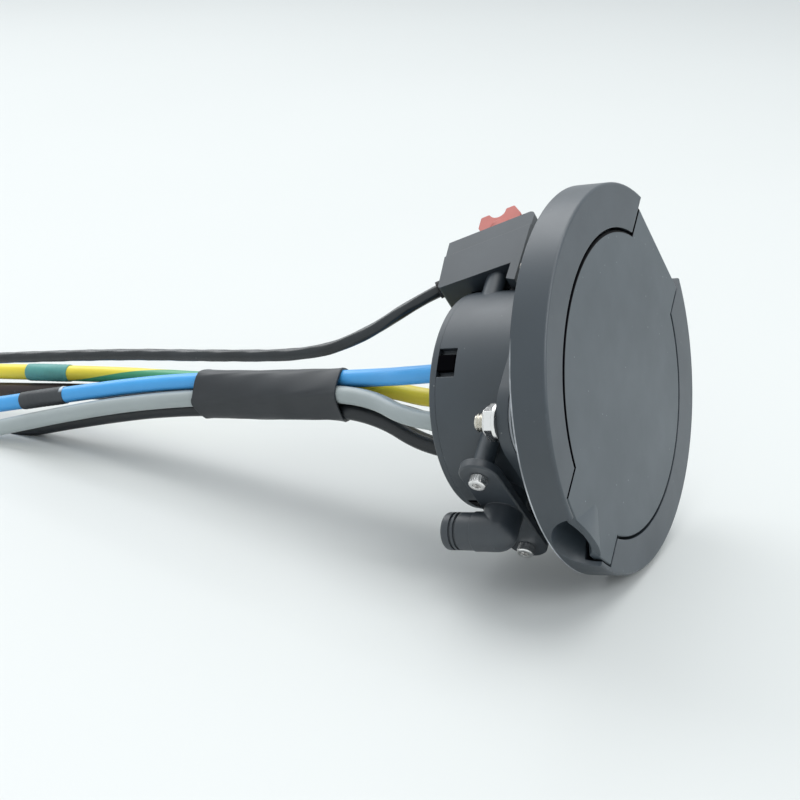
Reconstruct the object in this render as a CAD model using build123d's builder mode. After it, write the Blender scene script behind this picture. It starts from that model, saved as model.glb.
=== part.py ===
from build123d import *
import math
import os

os.makedirs("parts", exist_ok=True)

# Millimetres. +Z is up with the lid's hinge at the top, the lid faces -Y, the wires leave towards +Y.
# The origin is the centre of the round bezel, on the plane of its rear edge where it meets the panel.

# round bezel
bezel_diameter = 125.0
bezel_depth = 11.5
bezel_edge = 0.9
bezel_back_wall = 3.0
plate_corner = 16.0
plate_height = 5.5
back_rib = 2.0
back_rib_count = 16

# flap lid
lid_inset = 13.8
lid_drop = 1.8
lid_thickness = 3.0
lid_gap = 0.9
side_gap = 0.6
pocket_depth = 5.0
hinge_band = 41.4
tab_band = 38.8
hinge_edge_inset = 8.5
tab_inset = 2.2
lid_chamfer = 0.35

# lid hinge, a steel pin in the bezel's cheeks
hinge_inset = 11.6
hinge_setback = 3.05
pin_diameter = 2.5
pin_clearance = 0.06
knuckle_diameter = 4.7
knuckle_length = 6.5
knuckle_place = 13.0
hinge_well = 7.6
cheek_grip = 4.0

# torsion spring around the hinge pin
coil_wire = 0.6
coil_turns = 5.75
coil_radius = 1.75
coil_length = 8.6
lid_leg = 8.0
well_leg = 3.2

# finger lift and the hollow below it
lift_width = 27.0
lift_height = 3.0
lift_length = 14.5
lift_skin = 1.9
scoop_width = 27.0
scoop_depth = 10.2
scoop_reach = 11.0
scoop_draft = 16.0

# socket housing
socket_drop = 7.0
recess_diameter = 57.4
recess_flat = 24.6
barrel_wall = 7.3
barrel_end = 36.5
flange_overhang = 1.5
plate_overhang = 0.5
flange_corner = 15.0
flange_thickness = 4.0
gasket_thickness = 1.0
spigot_wall = 3.9
spigot_clearance = 0.4
spigot_face = 6.5
lip_height = 0.7
lip_setback = 1.0
lip_width = 1.8
carrier_seat = 5.0
carrier_seat_step = 2.8

# lid seal
seal_inset = 0.2
seal_width = 4.5
seal_thickness = 1.15

# contact carrier
carrier_diameter = 48.6
carrier_flat = 19.8
carrier_front = 1.0
carrier_fit = 0.15
power_pitch = 17.0
pilot_spread = 7.4
pilot_height = 12.2
power_bore = 6.1
power_sleeve = 8.2
pilot_bore = 3.1
pilot_sleeve = 5.0
contact_setback = 2.5
contact_fit = 0.03
retainer_thickness = 3.9

# rear cap and its snap windows
cap_step = 0.3
cap_thickness = 2.5
cap_gap = 0.2
cap_hole = 8.0
window_height = 9.5
window_length = 6.4
window_depth = 2.6
window_angle = 196.0
window_count = 4
clip_clearance = 0.35

# studs, washers and nuts
stud_inset = 7.5
stud_diameter = 6.0
stud_seat = 3.0
stud_end = 19.0
washer_diameter = 12.0
washer_thickness = 1.2
nut_flats = 10.0
nut_height = 3.2
thread_clearance = 0.05

# drain elbow
drain_y = 19.0
drain_plate_length = 53.0
drain_plate_width = 13.4
drain_plate_thickness = 3.0
drain_standoff = 4.6
drain_screw_pitch = 40.0
drain_drop = 9.8
hose_stop = 26.4
nipple_diameter = 12.0
nipple_bore = 7.4
nipple_end = 36.8
nipple_groove = 0.55
elbow_diameter = 12.6
duct_diameter = 12.4
drain_boss = 6.6
drain_gasket_thickness = 0.8
screw_diameter = 3.0
screw_head = 5.5
screw_head_height = 3.0
screw_socket = 2.5
screw_length = 11.0

# lock actuator
box_side = 6.0
box_width = 24.0
box_rear = 48.6
box_front = 23.6
bottom_rear_drop = 11.6
bottom_front_drop = 2.4
top_rear_rise = 8.4
top_front_rise = 19.4
box_lean = 1.9
parting_height = 6.6
cover_inset = 0.5
parting_gap = 0.15
box_wall = 2.4
chamber_rise = 2.2
foot_thickness = 2.6
foot_drop = 7.5
saddle_clearance = 0.3
post_diameter = 6.5
post_x = 25.4
post_y = 30.5
lock_x = 17.0
lock_y = 28.2
lock_pin_diameter = 4.4
lock_travel = 3.5
lock_clearance = 0.12
carriage_width = 4.2
carriage_length = 11.0
carriage_height = 3.6
carriage_offset = 1.5
carriage_overhang = 1.8
motor_diameter = 6.4
motor_length = 11.6
motor_clearance = 0.3
motor_back = 41.2
knob_inset = 5.2
knob_y = 33.6
knob_length = 15.4
knob_thickness = 4.4
knob_height = 8.6
knob_valley = 3.0
knob_shaft = 3.6
knob_clearance = 0.12
knob_base = 4.3

# cords
wire_diameter = 6.2
wire_ring = 5.52
bundle_twist = 29.0
sleeve_wall = 0.7
sleeve_clearance = 0.2
sleeve_start = 11.4
sleeve_length = 65.0
wire_start = 34.0
control_diameter = 4.3
grommet_diameter = 5.9
grommet_length = 3.6
grommet_depth = 4.6
cable_inset = 4.4
cable_turn = 1.0
cable_y = 43.6
cable_rise = 6.6
marker_wall = 0.4
marker_length = 20.0

bezel_radius = bezel_diameter / 2
lid_radius = bezel_radius - lid_inset
hinge_height = bezel_radius - hinge_inset
hinge_edge = bezel_radius - hinge_edge_inset
tab_reach = bezel_radius - tab_inset
lid_face = -bezel_depth
lid_back = lid_face + lid_thickness
hinge_y = lid_face + hinge_setback
flange_front = plate_height + gasket_thickness
flange_back = flange_front + flange_thickness
recess_radius = recess_diameter / 2
spigot_radius = recess_radius + spigot_wall
barrel_radius = recess_radius + barrel_wall
seat_radius = recess_radius + carrier_seat_step
flange_side = 2 * (barrel_radius + flange_overhang)
plate_side = flange_side + 2 * plate_overhang
stud_pitch = flange_side - 2 * stud_inset
barrel_top = barrel_radius - socket_drop
drain_plate_top = barrel_radius + socket_drop + drain_standoff
drain_axis = drain_plate_top + drain_drop
cap_front = barrel_end + cap_gap
window_middle = barrel_radius - window_depth / 2 + 1
cap_back = cap_front + cap_thickness
carrier_back = barrel_end - 1.0
retainer_front = carrier_back - retainer_thickness
box_bottom_rear = barrel_top - bottom_rear_drop
box_bottom_front = barrel_top - bottom_front_drop
box_top_rear = barrel_top + top_rear_rise
box_top_front = barrel_top + top_front_rise
chamber_floor = barrel_top + chamber_rise
box_near = box_side + box_width
knob_x = box_near - knob_inset
motor_x = box_side + box_wall + motor_clearance + motor_diameter / 2
top_slope = (box_top_front - box_top_rear) / (box_rear + box_lean - box_front)
bottom_slope = (box_bottom_front - box_bottom_rear) / (box_rear - box_front)
top_angle = math.atan(top_slope)


def across(y):
    """A sketch plane square to the socket's axis at y, with x along X, y along Z, facing the front."""
    return Plane.XZ.offset(-y)


def level(z):
    """A horizontal sketch plane at z."""
    return Plane.XY.offset(z)


def top_z(y):
    """Height of the actuator's sloping top at y."""
    return box_top_rear + (box_rear + box_lean - y) * top_slope


def bottom_z(y):
    """Height of the actuator's sloping underside at y."""
    return box_bottom_rear + (box_rear - y) * bottom_slope


def contact_places():
    """Where the seven contacts stand on the socket's face, as (name, x, z, power or pilot)."""
    low = power_pitch * math.sin(math.radians(60))
    side = power_pitch / 2
    return [
        ("neutral", -power_pitch, 0, True),
        ("l1", power_pitch, 0, True),
        ("earth", 0, 0, True),
        ("l3", -side, -low, True),
        ("l2", side, -low, True),
        ("proximity", -pilot_spread, pilot_height, False),
        ("pilot", pilot_spread, pilot_height, False),
    ]


def lid_shape(gap, side, reach):
    """The lid's outline, grown by gap around the circle and by side along the two bands."""
    with Locations((0, -lid_drop)):
        Circle(lid_radius + gap)
    with Locations((0, hinge_edge / 2)):
        Rectangle(hinge_band + 2 * side, hinge_edge)
    with Locations((0, -bezel_radius / 2)):
        Rectangle(tab_band + 2 * side, bezel_radius)
    Circle(reach, mode=Mode.INTERSECT)


def socket_profile(diameter, flat, grow=0.0):
    """The round outline with a flat top that the socket's recess and its insert share."""
    with Locations((0, -socket_drop)):
        Circle(diameter / 2 + grow)
    with Locations((0, -socket_drop + flat + grow + diameter / 2)):
        Rectangle(diameter * 1.5, diameter, mode=Mode.SUBTRACT)


stud_spots = [
    (sx * stud_pitch / 2, -socket_drop + sz * stud_pitch / 2)
    for sx in (-1, 1)
    for sz in (-1, 1)
]

# The bezel: a disc with a square mounting plate behind it and a pocket for the lid in front.
with BuildPart() as front_bezel:
    with BuildSketch(across(0)):
        Circle(bezel_radius)
    extrude(amount=bezel_depth)
    fillet(front_bezel.edges().group_by(Axis.Y)[0], bezel_edge)
    with BuildSketch(across(plate_height)):
        with Locations((0, -socket_drop)):
            RectangleRounded(plate_side, plate_side, plate_corner)
    extrude(amount=plate_height)
    # the back is hollow around the plate, with ribs out to the rim
    with BuildSketch(across(0)) as hollow:
        Circle(bezel_radius - bezel_back_wall)
        with Locations((0, -socket_drop)):
            RectangleRounded(plate_side, plate_side, plate_corner, mode=Mode.SUBTRACT)
        with PolarLocations(0, back_rib_count):
            with Locations((bezel_radius / 2, 0)):
                Rectangle(bezel_radius, back_rib, mode=Mode.SUBTRACT)
        with Locations((0, bezel_radius - 9)):
            Rectangle(hinge_band + 2 * cheek_grip, 22, mode=Mode.SUBTRACT)
        with Locations((0, -bezel_radius + 8)):
            Rectangle(scoop_width + 10, 2 * scoop_reach, mode=Mode.SUBTRACT)
    extrude(amount=bezel_depth - pocket_depth - bezel_back_wall, mode=Mode.SUBTRACT)
    # the lid's pocket, deeper and open at the top where the hinge turns
    with BuildSketch(across(lid_face)):
        lid_shape(lid_gap, side_gap, tab_reach + 0.7)
    extrude(amount=-pocket_depth, mode=Mode.SUBTRACT)
    with BuildSketch(across(lid_face)):
        with Locations((0, hinge_height - 4.2 + 10)):
            Rectangle(hinge_band + 2 * side_gap, 20)
    extrude(amount=-hinge_well, mode=Mode.SUBTRACT)
    # the socket's bore
    with BuildSketch(across(plate_height)):
        with Locations((0, -socket_drop)):
            Circle(spigot_radius + spigot_clearance)
    extrude(amount=bezel_depth + plate_height, mode=Mode.SUBTRACT)
    # the finger hollow in the rim below the tab
    with BuildSketch(level(-bezel_radius - 1)):
        with Locations((0, lid_face)):
            Ellipse(scoop_width / 2 + 0.5, scoop_depth + 0.5)
    extrude(amount=scoop_reach + 1, taper=scoop_draft, mode=Mode.SUBTRACT)
    # blind holes for the studs, and the hinge pin's hole through both cheeks
    with BuildSketch(across(plate_height)):
        with Locations(*stud_spots):
            Circle(stud_diameter / 2 + 0.02)
    extrude(amount=plate_height + stud_seat, mode=Mode.SUBTRACT)
    with BuildSketch(Plane.YZ.offset(-hinge_band / 2 - side_gap - cheek_grip)):
        with Locations((hinge_y, hinge_height)):
            Circle(pin_diameter / 2 + 0.02)
    extrude(amount=hinge_band + 2 * side_gap + 2 * cheek_grip, mode=Mode.SUBTRACT)
front_bezel.part.label = "front_bezel"

# The lid: a flat plate flush with the bezel, two hinge knuckles and a finger lift on its tab.
with BuildPart() as flap_lid:
    with BuildSketch(across(lid_back)):
        lid_shape(0, 0, tab_reach)
    extrude(amount=lid_thickness)
    chamfer(flap_lid.edges().group_by(Axis.Y)[0], lid_chamfer)
    # a half cone raised over the finger hollow
    with BuildSketch(level(-bezel_radius)):
        with BuildLine():
            ThreePointArc(
                (-lift_width / 2, lid_face + 0.05),
                (0, lid_face - lift_height),
                (lift_width / 2, lid_face + 0.05),
            )
            Line((lift_width / 2, lid_face + 0.05), (-lift_width / 2, lid_face + 0.05))
        make_face()
    with BuildSketch(level(-bezel_radius + lift_length)):
        with BuildLine():
            ThreePointArc((-1.6, lid_face + 0.05), (0, lid_face - 0.12), (1.6, lid_face + 0.05))
            Line((1.6, lid_face + 0.05), (-1.6, lid_face + 0.05))
        make_face()
    loft()
    with BuildSketch(across(lid_face - lift_height - 1)):
        Circle(bezel_radius + 12)
        Circle(tab_reach, mode=Mode.SUBTRACT)
    extrude(amount=-(lift_height + 1.5), mode=Mode.SUBTRACT)
    # the room for a finger under the lift
    with BuildSketch(level(-bezel_radius - 1)):
        with BuildLine():
            ThreePointArc(
                (-lift_width / 2 + 0.6, lid_back + 0.05),
                (0, lid_face - lift_height + lift_skin),
                (lift_width / 2 - 0.6, lid_back + 0.05),
            )
            Line((lift_width / 2 - 0.6, lid_back + 0.05), (-lift_width / 2 + 0.6, lid_back + 0.05))
        make_face()
    with BuildSketch(level(-bezel_radius + lift_length - 2)):
        with BuildLine():
            ThreePointArc((-1.6, lid_back + 0.05), (0, lid_back - 0.15), (1.6, lid_back + 0.05))
            Line((1.6, lid_back + 0.05), (-1.6, lid_back + 0.05))
        make_face()
    loft(mode=Mode.SUBTRACT)
    # hinge knuckles, webbed to the plate
    with BuildSketch(Plane.YZ.offset(-knuckle_place - knuckle_length / 2)):
        with Locations((hinge_y, hinge_height)):
            Circle(knuckle_diameter / 2)
        with Locations(((lid_back + hinge_y) / 2 - 0.5, hinge_height - 1.2)):
            Rectangle(abs(lid_back - hinge_y) + 1.0, 2.3)
    extrude(amount=knuckle_length)
    with BuildSketch(Plane.YZ.offset(knuckle_place - knuckle_length / 2)):
        with Locations((hinge_y, hinge_height)):
            Circle(knuckle_diameter / 2)
    extrude(amount=knuckle_length)
    with BuildSketch(Plane.YZ.offset(-hinge_band)):
        with Locations((hinge_y, hinge_height)):
            Circle(pin_diameter / 2 + pin_clearance)
    extrude(amount=2 * hinge_band, mode=Mode.SUBTRACT)
    # room for the spring between the knuckles
    spring_room = coil_radius + coil_wire / 2 + 0.25
    with BuildSketch(Plane.YZ.offset(-coil_length / 2 - 0.8)):
        with Locations((hinge_y, hinge_height)):
            Circle(spring_room)
        with Locations((hinge_y + 2, hinge_height)):
            Rectangle(4, 2 * spring_room)
    extrude(amount=coil_length + 1.6, mode=Mode.SUBTRACT)
flap_lid.part.label = "flap_lid"

with BuildPart() as lid_seal:
    with BuildSketch(across(lid_back + seal_thickness)):
        with Locations((0, -socket_drop)):
            Circle(recess_radius - seal_inset + seal_width)
            Circle(recess_radius - seal_inset, mode=Mode.SUBTRACT)
    extrude(amount=seal_thickness)
    fillet(lid_seal.edges().group_by(Axis.Y)[-1], 0.35)
lid_seal.part.label = "lid_seal"

with BuildPart() as hinge_pin:
    with BuildSketch(Plane.YZ.offset(-hinge_band / 2 - side_gap - cheek_grip + 0.3)):
        with Locations((hinge_y, hinge_height)):
            Circle(pin_diameter / 2)
    extrude(amount=hinge_band + 2 * side_gap + 2 * cheek_grip - 0.6)
    chamfer(hinge_pin.edges().filter_by(GeomType.CIRCLE), 0.25)
hinge_pin.part.label = "hinge_pin"

# Torsion spring: a helix around the pin, one leg down in the hinge well, the other down the lid's back.
coil_frame = Plane(origin=(-coil_length / 2, hinge_y, hinge_height), x_dir=(0, 1, 0), z_dir=(1, 0, 0))
coil = coil_frame * Helix(pitch=coil_length / coil_turns, height=coil_length, radius=coil_radius)
with BuildPart() as lid_spring:
    with BuildSketch(Plane(origin=coil @ 0, z_dir=coil % 0)):
        Circle(coil_wire / 2)
    sweep(path=coil, is_frenet=True)
    with BuildSketch(Plane(origin=coil @ 0, z_dir=(0, 0, -1))):
        Circle(coil_wire / 2)
    extrude(amount=well_leg)
    leg_top = hinge_height - coil_radius + coil_wire / 2
    leg_start = ((coil @ 1).X, lid_back + coil_wire / 2 + 0.03, leg_top)
    with BuildSketch(Plane(origin=leg_start, z_dir=(0, 0, -1))):
        Circle(coil_wire / 2)
    extrude(amount=lid_leg)
lid_spring.part.label = "lid_spring"

# The socket housing: flange, barrel, front spigot, recess, drain duct and actuator post.
with BuildPart() as socket_housing:
    with BuildSketch(across(flange_back)):
        with Locations((0, -socket_drop)):
            RectangleRounded(flange_side, flange_side, flange_corner)
    extrude(amount=flange_thickness)
    with BuildSketch(across(barrel_end)):
        with Locations((0, -socket_drop)):
            Circle(barrel_radius)
    extrude(amount=barrel_end - flange_front)
    with BuildSketch(across(flange_front)):
        with Locations((0, -socket_drop)):
            Circle(spigot_radius)
    extrude(amount=flange_front + spigot_face)
    with BuildSketch(across(-spigot_face)):
        with Locations((0, -socket_drop)):
            Circle(recess_radius + lip_setback + lip_width)
    extrude(amount=lip_height)
    # duct and screw bosses for the drain
    with BuildSketch(level(-drain_plate_top + drain_gasket_thickness)):
        with Locations((0, drain_y)):
            Circle(duct_diameter / 2)
    extrude(amount=12)
    with BuildSketch(level(-drain_plate_top)):
        with Locations((-drain_screw_pitch / 2, drain_y), (drain_screw_pitch / 2, drain_y)):
            Circle(drain_boss / 2)
    extrude(amount=16)
    # post under the lock actuator
    with BuildSketch(level(0)):
        with Locations((-post_x, post_y)):
            Circle(post_diameter / 2)
    extrude(amount=box_bottom_front)
    with BuildSketch(Plane.YZ.offset(-post_x - post_diameter)):
        Polygon(
            (post_y - post_diameter, bottom_z(post_y - post_diameter)),
            (post_y + post_diameter, bottom_z(post_y + post_diameter)),
            (post_y + post_diameter, box_top_front),
            (post_y - post_diameter, box_top_front),
            align=None,
        )
    extrude(amount=post_diameter * 1.5 + 1.5, mode=Mode.SUBTRACT)
    with BuildSketch(level(-1)):
        with Locations((-post_x, post_y)):
            Rectangle(post_diameter + 1, post_diameter + 1)
    extrude(amount=7, mode=Mode.SUBTRACT)
    with BuildSketch(across(barrel_end)):
        with Locations((0, -socket_drop)):
            Circle(barrel_radius)
    extrude(amount=barrel_end - flange_back)
    # recess for the plug and the seat of the contact carrier
    with BuildSketch(across(barrel_end)):
        socket_profile(recess_diameter, recess_flat)
    extrude(amount=barrel_end + spigot_face + lip_height + 1, mode=Mode.SUBTRACT)
    with BuildSketch(across(barrel_end)):
        with Locations((0, -socket_drop)):
            Circle(seat_radius)
    extrude(amount=carrier_seat, mode=Mode.SUBTRACT)
    with BuildSketch(across(-spigot_face)):
        with Locations((0, -socket_drop)):
            Circle(recess_radius + lip_setback)
    extrude(amount=lip_height + 1, mode=Mode.SUBTRACT)
    # drain passage and screw holes
    with BuildSketch(level(-drain_plate_top)):
        with Locations((0, drain_y)):
            Circle(nipple_bore / 2)
    extrude(amount=14, mode=Mode.SUBTRACT)
    with BuildSketch(level(-drain_plate_top)):
        with Locations((-drain_screw_pitch / 2, drain_y), (drain_screw_pitch / 2, drain_y)):
            Circle(screw_diameter / 2 + thread_clearance)
    extrude(amount=screw_length - drain_plate_thickness + 0.6, mode=Mode.SUBTRACT)
    # stud holes
    with BuildSketch(across(flange_back)):
        with Locations(*stud_spots):
            Circle(stud_diameter / 2 + 0.3)
    extrude(amount=flange_thickness, mode=Mode.SUBTRACT)
    # lock pin hole
    with BuildSketch(level(8)):
        with Locations((-lock_x, lock_y)):
            Circle(lock_pin_diameter / 2 + lock_clearance)
    extrude(amount=24, mode=Mode.SUBTRACT)
    # windows for the rear cap's snap clips
    with BuildSketch(across(barrel_end)):
        with Locations((0, -socket_drop)):
            with PolarLocations(window_middle, window_count, start_angle=window_angle):
                Rectangle(window_depth + 2, window_height)
    extrude(amount=window_length, mode=Mode.SUBTRACT)
socket_housing.part.label = "socket_housing"

with BuildPart() as flange_gasket:
    with BuildSketch(across(flange_front)):
        with Locations((0, -socket_drop)):
            RectangleRounded(flange_side - 0.6, flange_side - 0.6, flange_corner - 0.3)
            Circle(spigot_radius + 0.6, mode=Mode.SUBTRACT)
        with Locations(*stud_spots):
            Circle(stud_diameter / 2 + 0.4, mode=Mode.SUBTRACT)
    extrude(amount=gasket_thickness)
flange_gasket.part.label = "flange_gasket"

# The contact carrier: the insert with seven bores, each a narrow mouth with the contact's seat behind it.
with BuildPart() as contact_carrier:
    with BuildSketch(across(retainer_front)):
        socket_profile(carrier_diameter, carrier_flat)
    extrude(amount=retainer_front + carrier_front)
    chamfer(contact_carrier.edges().group_by(Axis.Y)[0], 0.6)
    with BuildSketch(across(retainer_front)):
        for _, x, z, power in contact_places():
            with Locations((x, z - socket_drop)):
                Circle((power_bore if power else pilot_bore) / 2 + 0.35)
    extrude(amount=retainer_front + carrier_front + 1, mode=Mode.SUBTRACT)
    with BuildSketch(across(retainer_front)):
        for _, x, z, power in contact_places():
            with Locations((x, z - socket_drop)):
                Circle((power_sleeve if power else pilot_sleeve) / 2 + contact_fit)
    extrude(amount=retainer_front + carrier_front - contact_setback, mode=Mode.SUBTRACT)
contact_carrier.part.label = "contact_carrier"

# The retainer behind it, a disc in the housing's seat that holds the contacts from the rear.
with BuildPart() as contact_retainer:
    with BuildSketch(across(carrier_back)):
        with Locations((0, -socket_drop)):
            Circle(seat_radius - carrier_fit)
        for _, x, z, power in contact_places():
            with Locations((x, z - socket_drop)):
                Circle((power_sleeve if power else pilot_sleeve) / 2 + contact_fit, mode=Mode.SUBTRACT)
    extrude(amount=retainer_thickness)
contact_retainer.part.label = "contact_retainer"

contacts = {}
for name, x, z, power in contact_places():
    with BuildPart() as contact:
        with BuildSketch(across(wire_start)):
            with Locations((x, z - socket_drop)):
                Circle((power_sleeve if power else pilot_sleeve) / 2)
        extrude(amount=wire_start + carrier_front - contact_setback - 0.1)
        with BuildSketch(across(wire_start - 8)):
            with Locations((x, z - socket_drop)):
                Circle((power_bore if power else pilot_bore) / 2)
        extrude(amount=wire_start + carrier_front, mode=Mode.SUBTRACT)
        # slots that let the sleeve grip the plug's pin
        with BuildSketch(across(carrier_front * -1 + contact_setback - 1)):
            with Locations((x, z - socket_drop)):
                Rectangle(power_sleeve + 2, 0.6)
                Rectangle(0.6, power_sleeve + 2)
        extrude(amount=-15, mode=Mode.SUBTRACT)
    contact.part.label = "contact_" + name
    contacts[name] = contact

# The rear cap, with five wire holes and four snap clips that reach into the windows.
with BuildPart() as rear_cap:
    with BuildSketch(across(cap_back)):
        with Locations((0, -socket_drop)):
            Circle(barrel_radius - cap_step)
    extrude(amount=cap_thickness)
    fillet(rear_cap.edges().group_by(Axis.Y)[-1], 0.9)
    clip = window_depth - 2 * clip_clearance
    with BuildSketch(across(cap_front)):
        with Locations((0, -socket_drop)):
            clip_middle = barrel_radius - window_depth + clip_clearance + clip / 2
            with PolarLocations(clip_middle, window_count, start_angle=window_angle):
                Rectangle(clip, window_height * 0.55)
    extrude(amount=window_length - clip_clearance)
    with BuildSketch(across(cap_back)):
        for _, x, z, power in contact_places():
            if power:
                with Locations((x, z - socket_drop)):
                    Circle(cap_hole / 2)
    extrude(amount=cap_thickness, mode=Mode.SUBTRACT)
rear_cap.part.label = "rear_cap"

with BuildPart() as panel_studs:
    with BuildSketch(across(stud_end)):
        with Locations(*stud_spots):
            Circle(stud_diameter / 2)
    extrude(amount=stud_end + stud_seat - 0.1)
    chamfer(panel_studs.edges().group_by(Axis.Y)[-1], 0.7)
panel_studs.part.label = "panel_studs"

with BuildPart() as panel_washers:
    with BuildSketch(across(flange_back + washer_thickness)):
        with Locations(*stud_spots):
            Circle(washer_diameter / 2)
            Circle(stud_diameter / 2 + 0.2, mode=Mode.SUBTRACT)
    extrude(amount=washer_thickness)
panel_washers.part.label = "panel_washers"

with BuildPart() as panel_nuts:
    with BuildSketch(across(flange_back + washer_thickness + nut_height)):
        with Locations(*stud_spots):
            RegularPolygon(nut_flats / 2, 6, major_radius=False)
            Circle(stud_diameter / 2 + thread_clearance, mode=Mode.SUBTRACT)
    extrude(amount=nut_height)
    with BuildSketch(across(flange_back + washer_thickness + nut_height)):
        with Locations(*stud_spots):
            Circle(nut_flats / math.sqrt(3) + 2)
            Circle(nut_flats / 2 + 0.35, mode=Mode.SUBTRACT)
    extrude(amount=0.45, taper=-45, mode=Mode.SUBTRACT)
panel_nuts.part.label = "panel_nuts"

# The drain elbow: an oblong plate, a short drop and the hose nipple to the rear.
with BuildPart() as drain_elbow:
    with BuildSketch(level(-drain_plate_top)):
        with Locations((0, drain_y)):
            SlotOverall(drain_plate_length, drain_plate_width)
    extrude(amount=-drain_plate_thickness)
    chamfer(drain_elbow.edges().group_by(Axis.Z)[0], 0.5)
    with BuildSketch(level(-drain_plate_top - drain_plate_thickness)):
        with Locations((0, drain_y)):
            Circle(elbow_diameter / 2)
    extrude(amount=-(drain_axis - drain_plate_top - drain_plate_thickness))
    with Locations((0, drain_y, -drain_axis)):
        Sphere(elbow_diameter / 2)
    with BuildSketch(across(drain_y)):
        with Locations((0, -drain_axis)):
            Circle(elbow_diameter / 2)
    extrude(amount=-(hose_stop - drain_y))
    with BuildSketch(across(drain_y)):
        with Locations((0, -drain_axis)):
            Circle(nipple_diameter / 2)
    extrude(amount=-(nipple_end - drain_y))
    fillet(drain_elbow.edges().group_by(Axis.Y)[-1], 1.3)
    for groove_y in (nipple_end - 4.6, nipple_end - 3.0):
        with BuildSketch(across(groove_y)):
            with Locations((0, -drain_axis)):
                Circle(nipple_diameter / 2 + 1)
                Circle(nipple_diameter / 2 - nipple_groove, mode=Mode.SUBTRACT)
        extrude(amount=0.8, mode=Mode.SUBTRACT)
    with BuildSketch(level(-drain_plate_top)):
        with Locations((0, drain_y)):
            Circle(nipple_bore / 2)
    extrude(amount=-(drain_axis - drain_plate_top), mode=Mode.SUBTRACT)
    with Locations((0, drain_y, -drain_axis)):
        Sphere(nipple_bore / 2, mode=Mode.SUBTRACT)
    with BuildSketch(across(drain_y)):
        with Locations((0, -drain_axis)):
            Circle(nipple_bore / 2)
    extrude(amount=-(nipple_end - drain_y + 1), mode=Mode.SUBTRACT)
    with BuildSketch(level(-drain_plate_top)):
        with Locations((-drain_screw_pitch / 2, drain_y), (drain_screw_pitch / 2, drain_y)):
            Circle(screw_diameter / 2 + 0.25)
    extrude(amount=-drain_plate_thickness, mode=Mode.SUBTRACT)
drain_elbow.part.label = "drain_elbow"

with BuildPart() as drain_gasket:
    with BuildSketch(level(-drain_plate_top)):
        with Locations((0, drain_y)):
            Circle(duct_diameter / 2)
            Circle(nipple_bore / 2, mode=Mode.SUBTRACT)
    extrude(amount=drain_gasket_thickness)
drain_gasket.part.label = "drain_gasket"

with BuildPart() as drain_screws:
    spots = [(-drain_screw_pitch / 2, drain_y), (drain_screw_pitch / 2, drain_y)]
    with BuildSketch(level(-drain_plate_top - drain_plate_thickness - screw_head_height)):
        with Locations(*spots):
            Circle(screw_head / 2)
    extrude(amount=screw_head_height)
    chamfer(drain_screws.edges().group_by(Axis.Z)[0], 0.3)
    with BuildSketch(level(-drain_plate_top - drain_plate_thickness)):
        with Locations(*spots):
            Circle(screw_diameter / 2)
    extrude(amount=screw_length)
    with BuildSketch(level(-drain_plate_top - drain_plate_thickness - screw_head_height)):
        with Locations(*spots):
            RegularPolygon(screw_socket / 2, 6, major_radius=False)
    extrude(amount=1.6, mode=Mode.SUBTRACT)
drain_screws.part.label = "drain_screws"

# The lock actuator: a wedge-shaped case in two halves beside the barrel's top, its cable out of the rear.
control_points = [
    (-box_near + cable_inset, cable_y, box_bottom_rear + cable_rise),
    (-box_near + cable_inset - cable_turn, 55.0, box_bottom_rear - 0.2),
    (-27.0, 73.2, 1.0),
    (-27.0, 92.0, -5.6),
    (-27.2, 130.0, -4.2),
    (-27.0, 184.0, -0.4),
    (-27.0, 238.0, 2.0),
]
control_out = (Vector(*control_points[1]) - Vector(*control_points[0])).normalized()
grommet_seat = Vector(*control_points[0]) + control_out * grommet_depth


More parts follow.
